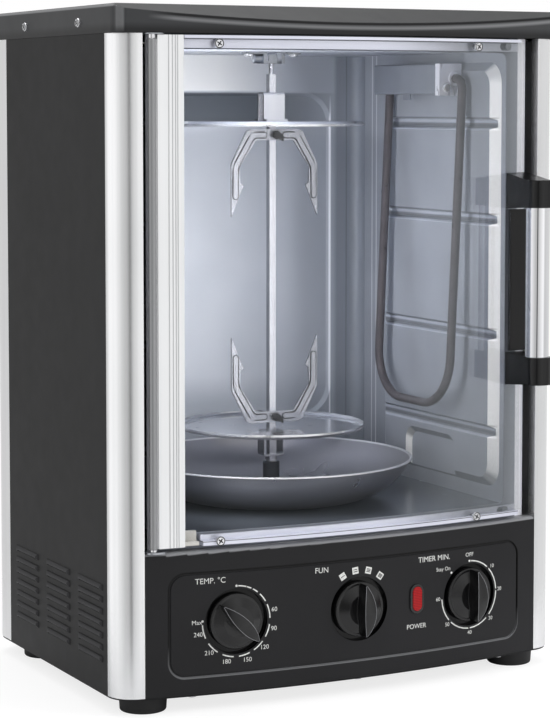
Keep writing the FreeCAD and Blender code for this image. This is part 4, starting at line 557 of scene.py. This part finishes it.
def finishes(looks):
    """Every finish by its key. Each comment says what the real one is and what that gives the eye."""
    sheet = {"size": 38.5, "metallic": 0.4}
    knob = (darker(looks.knob, 0.59), looks.knob)
    return {
        "control_panel": panel_plastic(looks.panel),
        "cap": cap_plastic(looks.cap),
        # glossy moulded plastic: long soft highlights over a deep black
        "knob": plastic("knob_plastic", *knob, 0.22, depth=0.006, gloss=0.5, edge=0.8),
        # plastic from a polished mould: near black, with narrow highlights on its round edges
        "handle": plastic("handle_polished_plastic", "040405", "09090a", 0.2, depth=0.004, gloss=0.4, edge=1.0),
        # small glossy mouldings: crisp highlights
        "trim": plastic("trim_plastic", "0e0e0f", "161617", 0.24, depth=0.006, gloss=0.6, edge=0.6),
        # moulded phenolic: hard and glossy, a shade paler where hands rub it
        "thumb": plastic("thumb_screw_plastic", "1a1a1c", "2a2a2d", 0.25, depth=0.01, gloss=0.6, edge=0.5),
        "paint": case_enamel(looks.enamel),
        # extruded and satin anodised aluminium: long die lines and a stretched highlight
        "post": metal("satin_anodised_aluminium", "e8e9ea", "f6f6f7", 0.24, (1, 1, 0.004), 3.85, depth=0.002,
                      metallic=0.9, streak=0.04),
        # the same extrusion in a paler, more matt copy that the lamps light more: painted light on the rear posts
        "rear": metal("rear_aluminium_painted_light", "f2f2f3", "fafafb", 0.3, (1, 1, 0.004), 3.85, depth=0.002,
                      metallic=0.35, streak=0.04),
        "stile": stile_aluminium(),
        # moulded end block, warm grey, with a matt 1.1 mm grain
        "block": plastic("pale_end_block_plastic", "c2c0bb", "cfcdc8", 0.45, depth=0.01, size=1.11),
        "rail": rail_aluminium(),
        "back": back_steel(),
        "wall": wall_steel(),
        # aluminised sheet out of the lamps' reach, made paler than the walls as painted light: pale and even
        "ceiling": metal("aluminised_ceiling_steel", "c2c7d2", "d0d4de", 0.36, **sheet),
        # aluminised sheet made darker than the walls as painted shade, and smoother: a dim mirror of the pan
        "floor": metal("darkened_floor_steel", "6a717c", "767d88", 0.24, size=38.5, depth=0.004, metallic=0.7),
        "frame": frame_steel(),
        "glass": mirror_glass(looks.coat),
        # chromium plate on buffed tube: a clean mirror with the faintest lines along it
        "chrome": metal("chromium_plate", "e6e7ea", "f4f4f6", 0.04, (1, 1, 0.02), depth=0.0003, streak=0.02),
        "spit": spit_steel("stainless_spit_steel", "d2d4dc", "e0e1e8"),
        "fork": spit_steel("stainless_fork_steel", "b0b2ba", "bec0c8"),
        "disc": disc_steel(),
        # steel turned on a lathe: dark, with rings 0.6 mm apart that catch light
        "socket": metal("turned_drive_steel", "38393d", "56585d", 0.18, (1, 1, 6), 3.33, streak=0.05),
        "pan": pan_steel(),
        # swaged steel sheath, oxidised to a purple brown in 11 mm patches: matt and warm
        "element": metal("oxidised_element_sheath", "4a464b", "5e5a5f", 0.3, size=11.1, metallic=0.5),
        # aluminised box behind the element's ends, made darker as painted shade
        "box": metal("aluminised_box_steel", "767b86", "868b96", 0.36, **sheet),
        # zinc-bright bracket sheet, rolled along Z: nearly white
        "plate": metal("bright_bracket_steel", "dcdee8", "ececf4", 0.3, (1, 1, 0.2), 5.0, depth=0.003,
                       metallic=0.5),
        # cold-headed, bright plated screws: small sharp highlights
        "screw": metal("bright_screw_steel", "dcdee2", "ececee", 0.2, size=2.5, depth=0.003, metallic=0.8,
                       streak=0.05),
        # zinc plate on pressed steel: a cool grey, a little cloudy in 7 mm patches
        "zinc": metal("zinc_plated_steel", "9a9da2", "b8bbc0", 0.3, size=6.67, depth=0.004),
        # moulded rubber: deep black and matt, with a 1.4 mm bloom
        "rubber": plastic("foot_rubber", "0f0f10", "181819", 0.6, depth=0.05, size=1.43),
        "lamp": lamp_plastic(looks.lens),
        # pressed thermoset: brown and matt, with the 1.7 mm mottle of its filler
        "switch": plastic("switch_thermoset", "2a2019", "3a2d22", 0.5, depth=0.03, size=1.67),
    }


FINISHES = {
    "control_panel": ("control_panel",),
    "cap": ("top_cap",),
    "knob": ("temperature_knob", "function_knob", "timer_knob"),
    "handle": ("handle_bracket_top", "handle_bracket_bottom", "handle_back_plate"),
    "trim": ("cord_inlet", "lamp_body"),
    "thumb": ("upper_thumb_screw", "lower_thumb_screw"),
    "paint": ("side_panel_left", "side_panel_right", "back_panel", "base_plate"),
    "post": ("front_post_left", "front_post_right"),
    "rear": ("rear_post_left", "rear_post_right"),
    "stile": ("hinge_stile",),
    "block": ("stile_block",),
    "rail": ("top_rail", "bottom_rail"),
    "back": ("liner_back",),
    "wall": ("liner_left", "liner_right"),
    "ceiling": ("liner_ceiling",),
    "floor": ("liner_floor",),
    "frame": ("cavity_frame",),
    "glass": ("door_glass",),
    "chrome": ("handle_tube", "hinge_pins"),
    "spit": ("spit_rod", "upper_bracket", "lower_bracket"),
    "fork": ("upper_fork", "lower_fork"),
    "disc": ("rotating_tray", "upper_disc"),
    "socket": ("drive_coupling",),
    "pan": ("drip_pan",),
    "element": ("heating_element",),
    "box": ("element_box",),
    "plate": ("element_flange",),
    "screw": ("case_screws", "rail_screws"),
    "zinc": ("spit_hook", "door_catches", "hinge_plates", "gear_motor", "motor_bracket", "thermostat_shaft",
             "function_shaft", "timer_shaft"),
    "rubber": ("rubber_feet",),
    "lamp": ("lamp_lens",),
    "switch": ("thermostat", "function_switch", "timer"),
}


class OVEN_OT_finishes(bpy.types.Operator):
    """Gives every CAD node its finish"""
    bl_idname = "oven.finishes"
    bl_label = "Finishes"

    def execute(self, context):
        made = finishes(read("oven_looks"))
        for key, nodes in FINISHES.items():
            for node in nodes:
                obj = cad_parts[node]
                obj.data.materials.clear()
                obj.data.materials.append(made[key])
        return {"FINISHED"}


# Print on the panel

def on_bow(u, v, proud):
    """Points (u, v) in millimetres, carried onto the bowed panel and `proud` before it, in metres."""
    panel = read("oven_panel")
    radius = panel.bow_radius + proud
    y = panel.bow_centre - np.sqrt(radius ** 2 - u ** 2) + panel.axis_y
    return np.stack([u, y, v], axis=1) * MM


def new_piece(name, points, faces, material, slot, body="housing"):
    """Makes a mesh object from points in metres, gives it its finish and lets it ride on a body."""
    mesh = bpy.data.meshes.new(name)
    mesh.from_pydata(np.asarray(points).tolist(), [], [list(map(int, f)) for f in faces])
    mesh.validate()
    mesh.update()
    obj = bpy.data.objects.new(name, mesh)
    bpy.context.scene.collection.objects.link(obj)
    mesh.materials.append(material)
    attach(obj, body)
    return obj


def words(text, height):
    """Flat points and faces of a line of text, its middle at (0, 0), with capitals `height` tall."""
    curve = bpy.data.curves.new("words", "FONT")
    curve.body = text
    curve.align_x = "CENTER"
    curve.align_y = "CENTER"
    capital = 0.7    # height of a capital in the built-in font, whose size is 1
    curve.size = height / capital
    curve.resolution_u = 4
    holder = bpy.data.objects.new("words", curve)
    mesh = bpy.data.meshes.new_from_object(holder)
    count = len(mesh.vertices)
    points = np.empty(count * 3)
    mesh.vertices.foreach_get("co", points)
    faces = [tuple(p.vertices) for p in mesh.polygons]
    bpy.data.objects.remove(holder)
    bpy.data.curves.remove(curve)
    bpy.data.meshes.remove(mesh)
    return points.reshape(-1, 3)[:, :2], faces


def capsule(x0, z0, x1, z1, width, steps=6):
    """A flat bar with round ends from one point to the other, as points in order round its edge."""
    turn = math.atan2(z1 - z0, x1 - x0)
    a = np.linspace(-math.pi / 2, math.pi / 2, steps)
    far = np.stack([x1 + width / 2 * np.cos(turn + a), z1 + width / 2 * np.sin(turn + a)], axis=1)
    near = np.stack([x0 - width / 2 * np.cos(turn + a), z0 - width / 2 * np.sin(turn + a)], axis=1)
    return np.concatenate([far, near])


class Print:
    """Collects flat printed shapes and turns them into one piece on the panel."""

    def __init__(self):
        self.points = []
        self.faces = []
        self.count = 0

    def shape(self, outline):
        """One flat face from its outline, in millimetres on the panel."""
        self.points.append(np.asarray(outline, float))
        self.faces.append(tuple(range(self.count, self.count + len(outline))))
        self.count += len(outline)

    def text(self, text, x, z, height):
        """A line of text with its middle at (x, z)."""
        flat, faces = words(text, height)
        self.points.append(flat + np.array([x, z]))
        self.faces += [tuple(i + self.count for i in f) for f in faces]
        self.count += len(flat)

    def piece(self, name, material, proud):
        """All the shapes as one piece that stands `proud` of the panel."""
        flat = np.concatenate(self.points)
        return new_piece(name, on_bow(flat[:, 0], flat[:, 1], proud), self.faces, material, "black_plastic")


def polar(x, z, radius, degrees):
    """The point at a clockwise angle from the top of a dial."""
    a = math.radians(degrees)
    return x + radius * math.sin(a), z + radius * math.cos(a)


def arc_dash(layer, x, z, radius, start, end, width):
    """A dash that follows the dial's circle between two clockwise angles."""
    a = np.radians(np.linspace(start, end, 5))
    outer = np.stack([x + (radius + width / 2) * np.sin(a), z + (radius + width / 2) * np.cos(a)], axis=1)
    inner = np.stack([x + (radius - width / 2) * np.sin(a), z + (radius - width / 2) * np.cos(a)], axis=1)
    layer.shape(np.concatenate([outer, inner[::-1]]))


def dot(layer, x, z, radius=0.9):
    """A printed dot, a disc of 12 sides."""
    a = np.linspace(0, 2 * math.pi, 13)[:-1]
    layer.shape(np.stack([x + radius * np.cos(a), z + radius * np.sin(a)], axis=1))


def arcs(layer, x, pairs):
    """The dashes of a dial, each between two clockwise angles."""
    panel = read("oven_panel")
    for start, end in pairs:
        arc_dash(layer, x, panel.knob_z, panel.dash_radius, start, end, panel.dash_width)


def numbers(layer, x, marks, radius, height):
    """Numbers on a circle round a knob, each upright at its clockwise angle."""
    z = read("oven_panel").knob_z
    for label, angle in marks:
        layer.text(label, *polar(x, z, radius, angle), height)


# each dial's marks with their clockwise angles in degrees, and the dashes between them, from one angle to another
TEMPERATURE_MARKS = (("60", 78), ("90", 105), ("120", 134), ("150", 164), ("180", 195), ("210", 224), ("240", 255),
                     ("Max", 272))
TEMPERATURE_DASHES = ((3, 17), (18, 26), (29, 39), (44, 60), (66, 89.5), (99.5, 120.5), (129, 149), (157, 176),
                      (185, 204.5), (214, 235.5), (245.5, 268))
TIMER_MARKS = (("10", 48), ("20", 88), ("30", 135), ("40", 179), ("50", 225), ("60", 269))
TIMER_DASHES = ((3, 41), (46, 86.5), (90, 132.5), (140.5, 178.5), (182, 222), (228, 268))
SIGN_ANGLES = (-29, -7, 15, 37)


def temperature_print(panel, white):
    """The temperature dial, with a dot at each end of its scale."""
    layer = Print()
    x, z = panel.temp_x, panel.knob_z
    numbers(layer, x, TEMPERATURE_MARKS, radius=29.6, height=3.2)
    arcs(layer, x, TEMPERATURE_DASHES)
    for angle in (0, 274):
        dot(layer, *polar(x, z, panel.dash_radius, angle))
    layer.text("TEMP. \u00b0C", x=-115.5, z=panel.word_z, height=panel.word_height)
    layer.piece("temperature_dial_print", white, panel.proud)


def timer_print(panel, white):
    """The timer's dial, with a dot for each of its two words, and the word under the power lamp."""
    layer = Print()
    x, z = panel.timer_x, panel.knob_z
    numbers(layer, x, TIMER_MARKS, radius=28.9, height=2.8)
    numbers(layer, x, (("OFF", 0),), radius=30.2, height=3.0)
    numbers(layer, x, (("Stay On", -48),), radius=32.6, height=2.8)
    arcs(layer, x, TIMER_DASHES)
    dot(layer, *polar(x, z, panel.dash_radius, 0))
    dot(layer, *polar(x, z, panel.dash_radius - 0.6, -42.5))
    layer.text("TIMER MIN.", x=66.5, z=panel.word_z + 0.4, height=panel.word_height)
    layer.text("POWER", x=panel.lamp_x, z=45.2, height=3.5)
    layer.piece("timer_dial_print", white, panel.proud)


def function_print(panel, white, dark):
    """Four plain signs, each a pale square with a dark bar for every part of the element that it stands for."""
    layer, signs = Print(), Print()
    layer.text("FUN", x=-29.5, z=panel.word_z + 0.7, height=panel.word_height)
    circle, half, bar, width = 28.7, 2.5, 1.5, 0.5    # of the signs, half a square, half a bar and a bar's width
    for i, angle in enumerate(SIGN_ANGLES):
        a = math.radians(angle)
        cx, cz = polar(panel.function_x, panel.knob_z, circle, angle)

        def turned(u, v):
            return cx + u * math.cos(a) + v * math.sin(a), cz - u * math.sin(a) + v * math.cos(a)

        layer.shape([turned(u, v) for u, v in ((-half, -half), (half, -half), (half, half), (-half, half))])
        for k in range(i + 1):
            v = bar * (2 * (k + 0.5) / (i + 1) - 1)
            signs.shape(capsule(*turned(-bar, v), *turned(bar, v), width))
    layer.piece("function_dial_print", white, panel.proud)
    signs.piece("function_signs_print", dark, panel.proud * 2)


class OVEN_OT_dials(bpy.types.Operator):
    """Prints the numbers, dashes and words of the three dials and the lamp"""
    bl_idname = "oven.dials"
    bl_label = "Dials"

    def execute(self, context):
        panel = read("oven_panel")
        white = ink(read("oven_looks").ink)
        temperature_print(panel, white)
        timer_print(panel, white)
        function_print(panel, white, bpy.data.materials["knob_plastic"])
        return {"FINISHED"}


# Small parts

def tube(path, radius, sides=8):
    """A closed tube along a path: each ring stands square to the path's direction at its point.

    Both axes of each ring come from one direction that the path never runs along, so the tube doesn't twist.
    """
    path = np.asarray(path, float)
    ahead = np.gradient(path, axis=0)
    ahead /= np.linalg.norm(ahead, axis=1)[:, None]
    across = np.cross(ahead, (0.0, 0.0, 1.0) if np.abs(ahead[:, 2]).max() < 0.9 else (0.0, 1.0, 0.0))
    across /= np.linalg.norm(across, axis=1)[:, None]
    up = np.cross(ahead, across)
    a = np.linspace(0, 2 * math.pi, sides + 1)[:-1]
    ring = np.cos(a)[None, :, None] * across[:, None, :] + np.sin(a)[None, :, None] * up[:, None, :]
    points = (path[:, None, :] + radius * ring).reshape(-1, 3)
    count = len(path)
    i, j = np.meshgrid(np.arange(count - 1), np.arange(sides), indexing="ij")
    k = (j + 1) % sides
    faces = np.stack([i * sides + j, i * sides + k, (i + 1) * sides + k, (i + 1) * sides + j], axis=-1)
    caps = [tuple(range(sides))[::-1], tuple(range((count - 1) * sides, count * sides))]
    return points, [tuple(f) for f in faces.reshape(-1, 4).tolist()] + caps


def joined(parts):
    """Several sets of points and faces as one."""
    points, faces, count = [], [], 0
    for some, their in parts:
        points.append(some)
        faces += [tuple(i + count for i in f) for f in their]
        count += len(some)
    return np.concatenate(points), faces


def on_panel(points, x, z):
    """Points made about the Y axis, square to the bow at x, in metres."""
    panel = read("oven_panel")
    a = math.asin(x / panel.bow_radius)
    turn = np.array([[math.cos(a), -math.sin(a), 0], [math.sin(a), math.cos(a), 0], [0, 0, 1]])
    y = panel.bow_centre - math.sqrt(panel.bow_radius ** 2 - x ** 2) + panel.axis_y
    return (points @ turn.T + np.array([x, y, z])) * MM


def knob_edge(side):
    """The edge between the grip's side, an arc in plan, and the dome over it, just short of the grip's ends."""
    knob = read("oven_knob")
    radius = (knob.half ** 2 + knob.grip ** 2) / (2 * knob.grip)
    end = knob.half * 0.97
    z = np.linspace(-end, end, 33)
    x = side * (np.sqrt(radius ** 2 - z ** 2) - radius + knob.grip)
    y = knob.dome - knob.reach - np.sqrt(knob.dome ** 2 - x ** 2 - z ** 2)
    return np.stack([x, y, z], axis=1)


class OVEN_OT_knob_edges(bpy.types.Operator):
    """Adds a painted highlight line along the edges of each knob's grip"""
    bl_idname = "oven.knob_edges"
    bl_label = "Knob edges"

    def execute(self, context):
        panel, knob = read("oven_panel"), read("oven_knob")
        # a thin pale line of painted highlight along the grip's edges
        edge = plastic("knob_edge_painted_highlight", "6c6d70", "8a8b8e", 0.2, 0.002)
        places = (("temperature", panel.temp_x, knob.temp_turn), ("function", panel.function_x, 0.0),
                  ("timer", panel.timer_x, 0.0))
        for name, x, a in places:
            points, faces = joined([tube(knob_edge(side), knob.edge, 6) for side in (-1, 1)])
            turn = np.array([[math.cos(a), 0, math.sin(a)], [0, 1, 0], [-math.sin(a), 0, math.cos(a)]])
            points = on_panel(points @ turn.T, x, panel.knob_z)
            new_piece(name + "_knob_edges", points, faces, edge, "black_plastic", name + "_control")
        return {"FINISHED"}


def ridge_line():
    """Middle line of a fork's ridge, with its two corners rounded by quadratic curves.

    A curve starts and ends `cut` from its corner, or `most` of the way to the next corner where that is less.
    """
    fork = read("oven_fork")
    web, lean = 0.3, 0.2    # the line's height over the screw's middle, and how far the prong leans out
    cut, most = 5.0, 0.45
    corners = np.array([(fork.start, web), (fork.shoulder, web), (fork.spread, fork.bend),
                        (fork.spread + lean, fork.end)])
    t = np.linspace(0, 1, 9)[:, None]
    line = [corners[0]]
    for before, corner, after in zip(corners, corners[1:], corners[2:]):
        a = corner + (before - corner) * min(most, cut / np.linalg.norm(before - corner))
        b = corner + (after - corner) * min(most, cut / np.linalg.norm(after - corner))
        line += list((1 - t) ** 2 * a + 2 * t * (1 - t) * corner + t ** 2 * b)
    return np.array(line + [corners[-1]])


def around(line, reach):
    """A closed outline at a distance from a line, with half circles at its ends."""
    ahead = np.gradient(line, axis=0)
    ahead /= np.linalg.norm(ahead, axis=1)[:, None]
    left = np.stack([-ahead[:, 1], ahead[:, 0]], axis=1) * reach
    a = np.linspace(-math.pi / 2, math.pi / 2, 9)[1:-1, None]
    end = line[-1] + reach * (np.cos(a) * ahead[-1] + np.sin(a) * left[-1] / reach)
    start = line[0] - reach * (np.cos(a) * ahead[0] + np.sin(a) * left[0] / reach)
    return np.concatenate([line - left, end, (line + left)[::-1], start])


class OVEN_OT_fork_lines(bpy.types.Operator):
    """Adds the dark line of painted shade round the ridges of both forks"""
    bl_idname = "oven.fork_lines"
    bl_label = "Fork lines"

    def execute(self, context):
        fork = read("oven_fork")
        axis_y = read("oven_panel").axis_y
        # painted shade: a thin dark outline where the pressed groove lies out of the light
        groove = metal("shaded_fork_groove", "141417", "222226", 0.5, size=5.0, depth=0.002, metallic=0.3)
        overlap, proud = 0.2, 0.05    # the line starts under the ridge's foot, and stands before the fork's face
        line = ridge_line()
        inner = around(line, fork.half_width - overlap)
        outer = around(line, fork.half_width + fork.line)
        count = len(inner)
        face = np.arange(count)
        after = (face + 1) % count
        quads = [tuple(q) for q in np.stack([face, after, after + count, face + count], axis=1).tolist()]
        band = np.concatenate([inner, outer])
        for name, z, up in (("upper", fork.upper_z, -1), ("lower", fork.lower_z, 1)):
            parts = []
            for side in (-1, 1):
                y = np.full(len(band), fork.front - proud + axis_y)
                points = np.stack([side * band[:, 0], y, z + up * band[:, 1]], axis=1) * MM
                faces = quads if side * up < 0 else [q[::-1] for q in quads]
                parts.append((points, faces))
            points, faces = joined(parts)
            new_piece(name + "_fork_lines", points, faces, groove, "spit_steel", "fork_" + name)
        return {"FINISHED"}


def cross(centre, out):
    """A cross recess and a rounded rim as painted shade, drawn as two bars and a ring on a head that looks along
    `out`.
    """
    out = np.asarray(out, float) / np.linalg.norm(out)
    side = np.cross(out, (0.0, 0.0, 1.0)) if abs(out[2]) < 0.9 else np.array([1.0, 0.0, 0.0])
    side /= np.linalg.norm(side)
    up = np.cross(side, out)
    arm, width, first, proud = 1.7, 0.9, 0.6, 0.04    # half a bar, its width, its turn in radians, over the head
    inner, outer, sides = 2.7, 3.3, 24    # the ring
    shapes = []
    for turn in (first, first + math.pi / 2):
        c, s = math.cos(turn) * arm, math.sin(turn) * arm
        flat = capsule(-c, -s, c, s, width)
        shapes.append((flat, [tuple(range(len(flat)))]))
    a = np.linspace(0, 2 * math.pi, sides + 1)[:-1]
    circle = np.stack([np.cos(a), np.sin(a)], axis=1)
    i = np.arange(sides)
    rim = np.stack([i, i + sides, (i + 1) % sides + sides, (i + 1) % sides], axis=1)
    shapes.append((np.concatenate([circle * inner, circle * outer]), [tuple(q) for q in rim.tolist()]))
    parts = []
    for flat, faces in shapes:
        points = np.asarray(centre) + flat[:, :1] * side + flat[:, 1:] * up + out * proud
        parts.append((points * MM, faces))
    return joined(parts)


class OVEN_OT_screw_crosses(bpy.types.Operator):
    """Marks the cross recess and rim of each screw that shows, in painted shade"""
    bl_idname = "oven.screw_crosses"
    bl_label = "Screw crosses"

    def execute(self, context):
        panel = read("oven_panel")
        # painted shade at the bottom of a punched recess, out of the light: a dark cross
        dark = plastic("screw_recess_shadow", "101011", "1c1c1e", 0.5)
        head = 1.6    # a head's height over the rail, whose lip adds 0.8 below
        door = []
        for x, z, lip in ((-108.5, 472.6, 0.0), (-108.5, 122.4, 0.8), (104.0, 472.6, 0.0), (104.0, 122.4, 0.8)):
            radius = panel.bow_radius + lip + head
            a = math.asin(x / panel.bow_radius)
            y = panel.bow_centre - radius * math.cos(a) + panel.axis_y
            door.append(cross((radius * math.sin(a), y, z), (math.sin(a), -math.cos(a), 0)))
        new_piece("rail_screw_crosses", *joined(door), dark, "zinc_steel", "door")
        # two on each side of the cap, and three down each edge of the back panel
        case = [cross((side * 185.0, y + panel.axis_y, 488.0), (side, 0, 0))
                for side in (-1, 1) for y in (46.0, -57.0)]
        case += [cross((x, 125.0 + panel.axis_y, z), (0, 1, 0))
                 for x in (-150.0, 150.0) for z in (36.0, 250.0, 464.0)]
        new_piece("case_screw_crosses", *joined(case), dark, "zinc_steel")
        return {"FINISHED"}


# Studio

def area_light(name, place, target, size, power, in_metal=False):
    """A soft lamp in watts and metres that looks at its target. Metal doesn't mirror it, unless `in_metal`."""
    data = bpy.data.lights.new(name, "AREA")
    data.shape = "RECTANGLE"
    data.size, data.size_y = size
    data.energy = power
    obj = bpy.data.objects.new(name, data)
    bpy.context.scene.collection.objects.link(obj)
    obj.location = place
    obj.rotation_euler = (Vector(target) - Vector(place)).to_track_quat("-Z", "Y").to_euler()
    obj.visible_glossy = in_metal
    return obj


def cavity_light(power):
    """Three soft lamps inside the cavity's front left edge, hidden themselves, that light its walls.

    They stand in for light through the door, which the lamps outside hardly throw on the right wall and ceiling.
    """
    for name, place, target, size, share in (
            ("cavity_walls", (-0.1, -0.095, 0.32), (0.0, 0.1, 0.33), (0.04, 0.26), 1.0),
            ("cavity_side", (-0.1, -0.095, 0.3), (0.14, -0.06, 0.3), (0.04, 0.3), 0.5),
            ("cavity_top", (-0.07, -0.09, 0.45), (0.02, 0.11, 0.456), (0.06, 0.02), 0.3)):
        area_light(name, place, target, size, power * share).visible_camera = False


# places round the studio and their brightness: 0 and 1 lie behind the oven, 0.25 at its left, 0.5 before it and
# 0.75 at its right
STUDIO_WALLS = ((0.0, 0.8), (0.04, 0.5), (0.085, 0.5), (0.13, 1.1), (0.24, 1.05), (0.36, 0.55), (0.395, 0.5),
                (0.405, 0.02), (0.42, 0.02), (0.43, 0.6), (0.5, 0.85), (0.575, 1.1), (0.62, 0.65), (0.75, 0.75),
                (1.0, 0.8))


def studio_walls(tree):
    """Brightness of the studio by direction, which bare metal shows, with dark stretches that draw its edges."""
    way = {"Vector": add(tree, "TexCoord", output="Generated")}
    front = add(tree, "Math", {0: add(tree, "SeparateXYZ", way, output="Y"), 1: -1.0}, operation="MULTIPLY")
    turn = add(tree, "Math", {0: add(tree, "SeparateXYZ", way, output="X"), 1: front}, operation="ARCTAN2")
    share = add(tree, "MapRange", {"Value": turn, "From Min": -math.pi, "From Max": math.pi})
    stops = [(position, (grey, grey, grey, 1.0)) for position, grey in STUDIO_WALLS]
    return add(tree, "ValToRGB", {"Fac": share}, stops)


def white_world(ambient):
    """White behind the oven and in panes, the studio's walls in metal, and `ambient` on matt surfaces."""
    world = bpy.data.worlds.new("studio")
    bpy.context.scene.world = world
    world.use_nodes = True
    tree = world.node_tree
    tree.nodes.clear()
    camera, pane, metal_ray = (add(tree, "LightPath", output="Is %s Ray" % ray)
                               for ray in ("Camera", "Transmission", "Glossy"))
    clear = add(tree, "Math", {0: camera, 1: pane}, operation="MAXIMUM")
    level = add(tree, "MapRange", {"Value": clear, "To Min": ambient, "To Max": 1.0})
    plain = add(tree, "Background", {"Color": (1, 1, 1, 1), "Strength": level})
    walls = add(tree, "Background", {"Color": studio_walls(tree), "Strength": 1.0})
    mixed = add(tree, "MixShader", {0: metal_ray, 1: plain, 2: walls})
    add(tree, "OutputWorld", {"Surface": mixed})


def white_floor():
    """Pale floor just under the feet, which keeps the oven's shadow and fades into the white world."""
    mesh = bpy.data.meshes.new("floor")
    half, z = 3.0, -0.0002
    mesh.from_pydata([(-half, -half, z), (half, -half, z), (half, half, z), (-half, half, z)], [], [(0, 1, 2, 3)])
    floor = bpy.data.objects.new("floor", mesh)
    bpy.context.scene.collection.objects.link(floor)
    # matt white backdrop paper: to the camera it glows, so it stays white with few lamps, and it fades out from
    # 0.2 to 0.5 m off the middle, so it has no edge
    material, tree, place = begin("pale_floor")
    matt = add(tree, "BsdfDiffuse", {"Color": colour("f4f4f5")})
    glow = add(tree, "Emission", {"Color": (1, 1, 1, 1), "Strength": 1.2})
    seen = add(tree, "LightPath", output="Is Camera Ray")
    share = add(tree, "Math", {0: seen, 1: 0.65}, operation="MULTIPLY")
    lit = add(tree, "MixShader", {0: share, 1: matt, 2: glow})
    away = add(tree, "VectorMath", {0: place}, output="Value", operation="LENGTH")
    near = {"Value": away, "From Min": 0.2, "From Max": 0.5}
    fade = add(tree, "MapRange", near, interpolation_type="SMOOTHSTEP")
    clear = add(tree, "BsdfTransparent")
    mixed = add(tree, "MixShader", {0: fade, 1: lit, 2: clear})
    add(tree, "OutputMaterial", {"Surface": mixed})
    mesh.materials.append(material)


class OVEN_OT_studio(bpy.types.Operator):
    """Adds the camera, the soft lamps, the white world and the floor"""
    bl_idname = "oven.studio"
    bl_label = "Studio"

    def execute(self, context):
        studio = read("oven_studio")
        data = bpy.data.cameras.new("camera")
        data.lens = studio.lens
        data.sensor_width = 36.0
        data.shift_y = studio.shift_y
        data.clip_end = 20.0
        camera = bpy.data.objects.new("camera", data)
        context.scene.collection.objects.link(camera)
        y = studio.camera_y + read("oven_panel").axis_y
        camera.location = Vector((studio.camera_x, y, studio.camera_z)) * MM
        camera.rotation_euler = (math.pi / 2 - studio.pitch, 0, -studio.yaw)
        context.scene.camera = camera
        middle = (0, 0, 0.26)
        area_light("key", (-1.5, -1.0, 1.3), middle, (0.9, 1.2), studio.key)
        area_light("fill", (1.3, -1.3, 0.8), middle, (0.8, 1.2), studio.fill)
        area_light("top", (0, 0.1, 1.6), middle, (1.0, 0.8), studio.top, in_metal=True)
        cavity_light(studio.cavity)
        white_world(studio.ambient)
        white_floor()
        context.scene.view_settings.view_transform = "Standard"
        return {"FINISHED"}


class OVEN_PT_panel(bpy.types.Panel):
    """Buttons and settings of the oven"""
    bl_label = "Grill oven"
    bl_idname = "OVEN_PT_panel"
    bl_space_type = "VIEW_3D"
    bl_region_type = "UI"
    bl_category = "Grill oven"

    def draw(self, context):
        for operator in OPERATORS:
            self.layout.operator(operator.bl_idname)
        for scene_name in GROUPS:
            group = getattr(context.scene, scene_name)
            box = self.layout.box()
            for name in GROUPS[scene_name].__annotations__:
                box.prop(group, name)


OPERATORS = (OVEN_OT_finishes, OVEN_OT_dials, OVEN_OT_knob_edges, OVEN_OT_fork_lines, OVEN_OT_screw_crosses,
             OVEN_OT_studio)
GROUPS = {"oven_panel": PanelSettings, "oven_knob": KnobSettings, "oven_fork": ForkSettings,
          "oven_looks": LooksSettings, "oven_studio": StudioSettings}


def register():
    for name, group in GROUPS.items():
        bpy.utils.register_class(group)
        setattr(bpy.types.Scene, name, PointerProperty(type=group))
    for item in OPERATORS + (OVEN_PT_panel,):
        bpy.utils.register_class(item)


def unregister():
    for item in (OVEN_PT_panel,) + OPERATORS[::-1]:
        bpy.utils.unregister_class(item)
    for name, group in GROUPS.items():
        delattr(bpy.types.Scene, name)
        bpy.utils.unregister_class(group)


def main():
    register()
    bpy.ops.oven.finishes()
    bpy.ops.oven.dials()
    bpy.ops.oven.knob_edges()
    bpy.ops.oven.fork_lines()
    bpy.ops.oven.screw_crosses()
    bpy.ops.oven.studio()


if __name__ == "__main__":
    main()
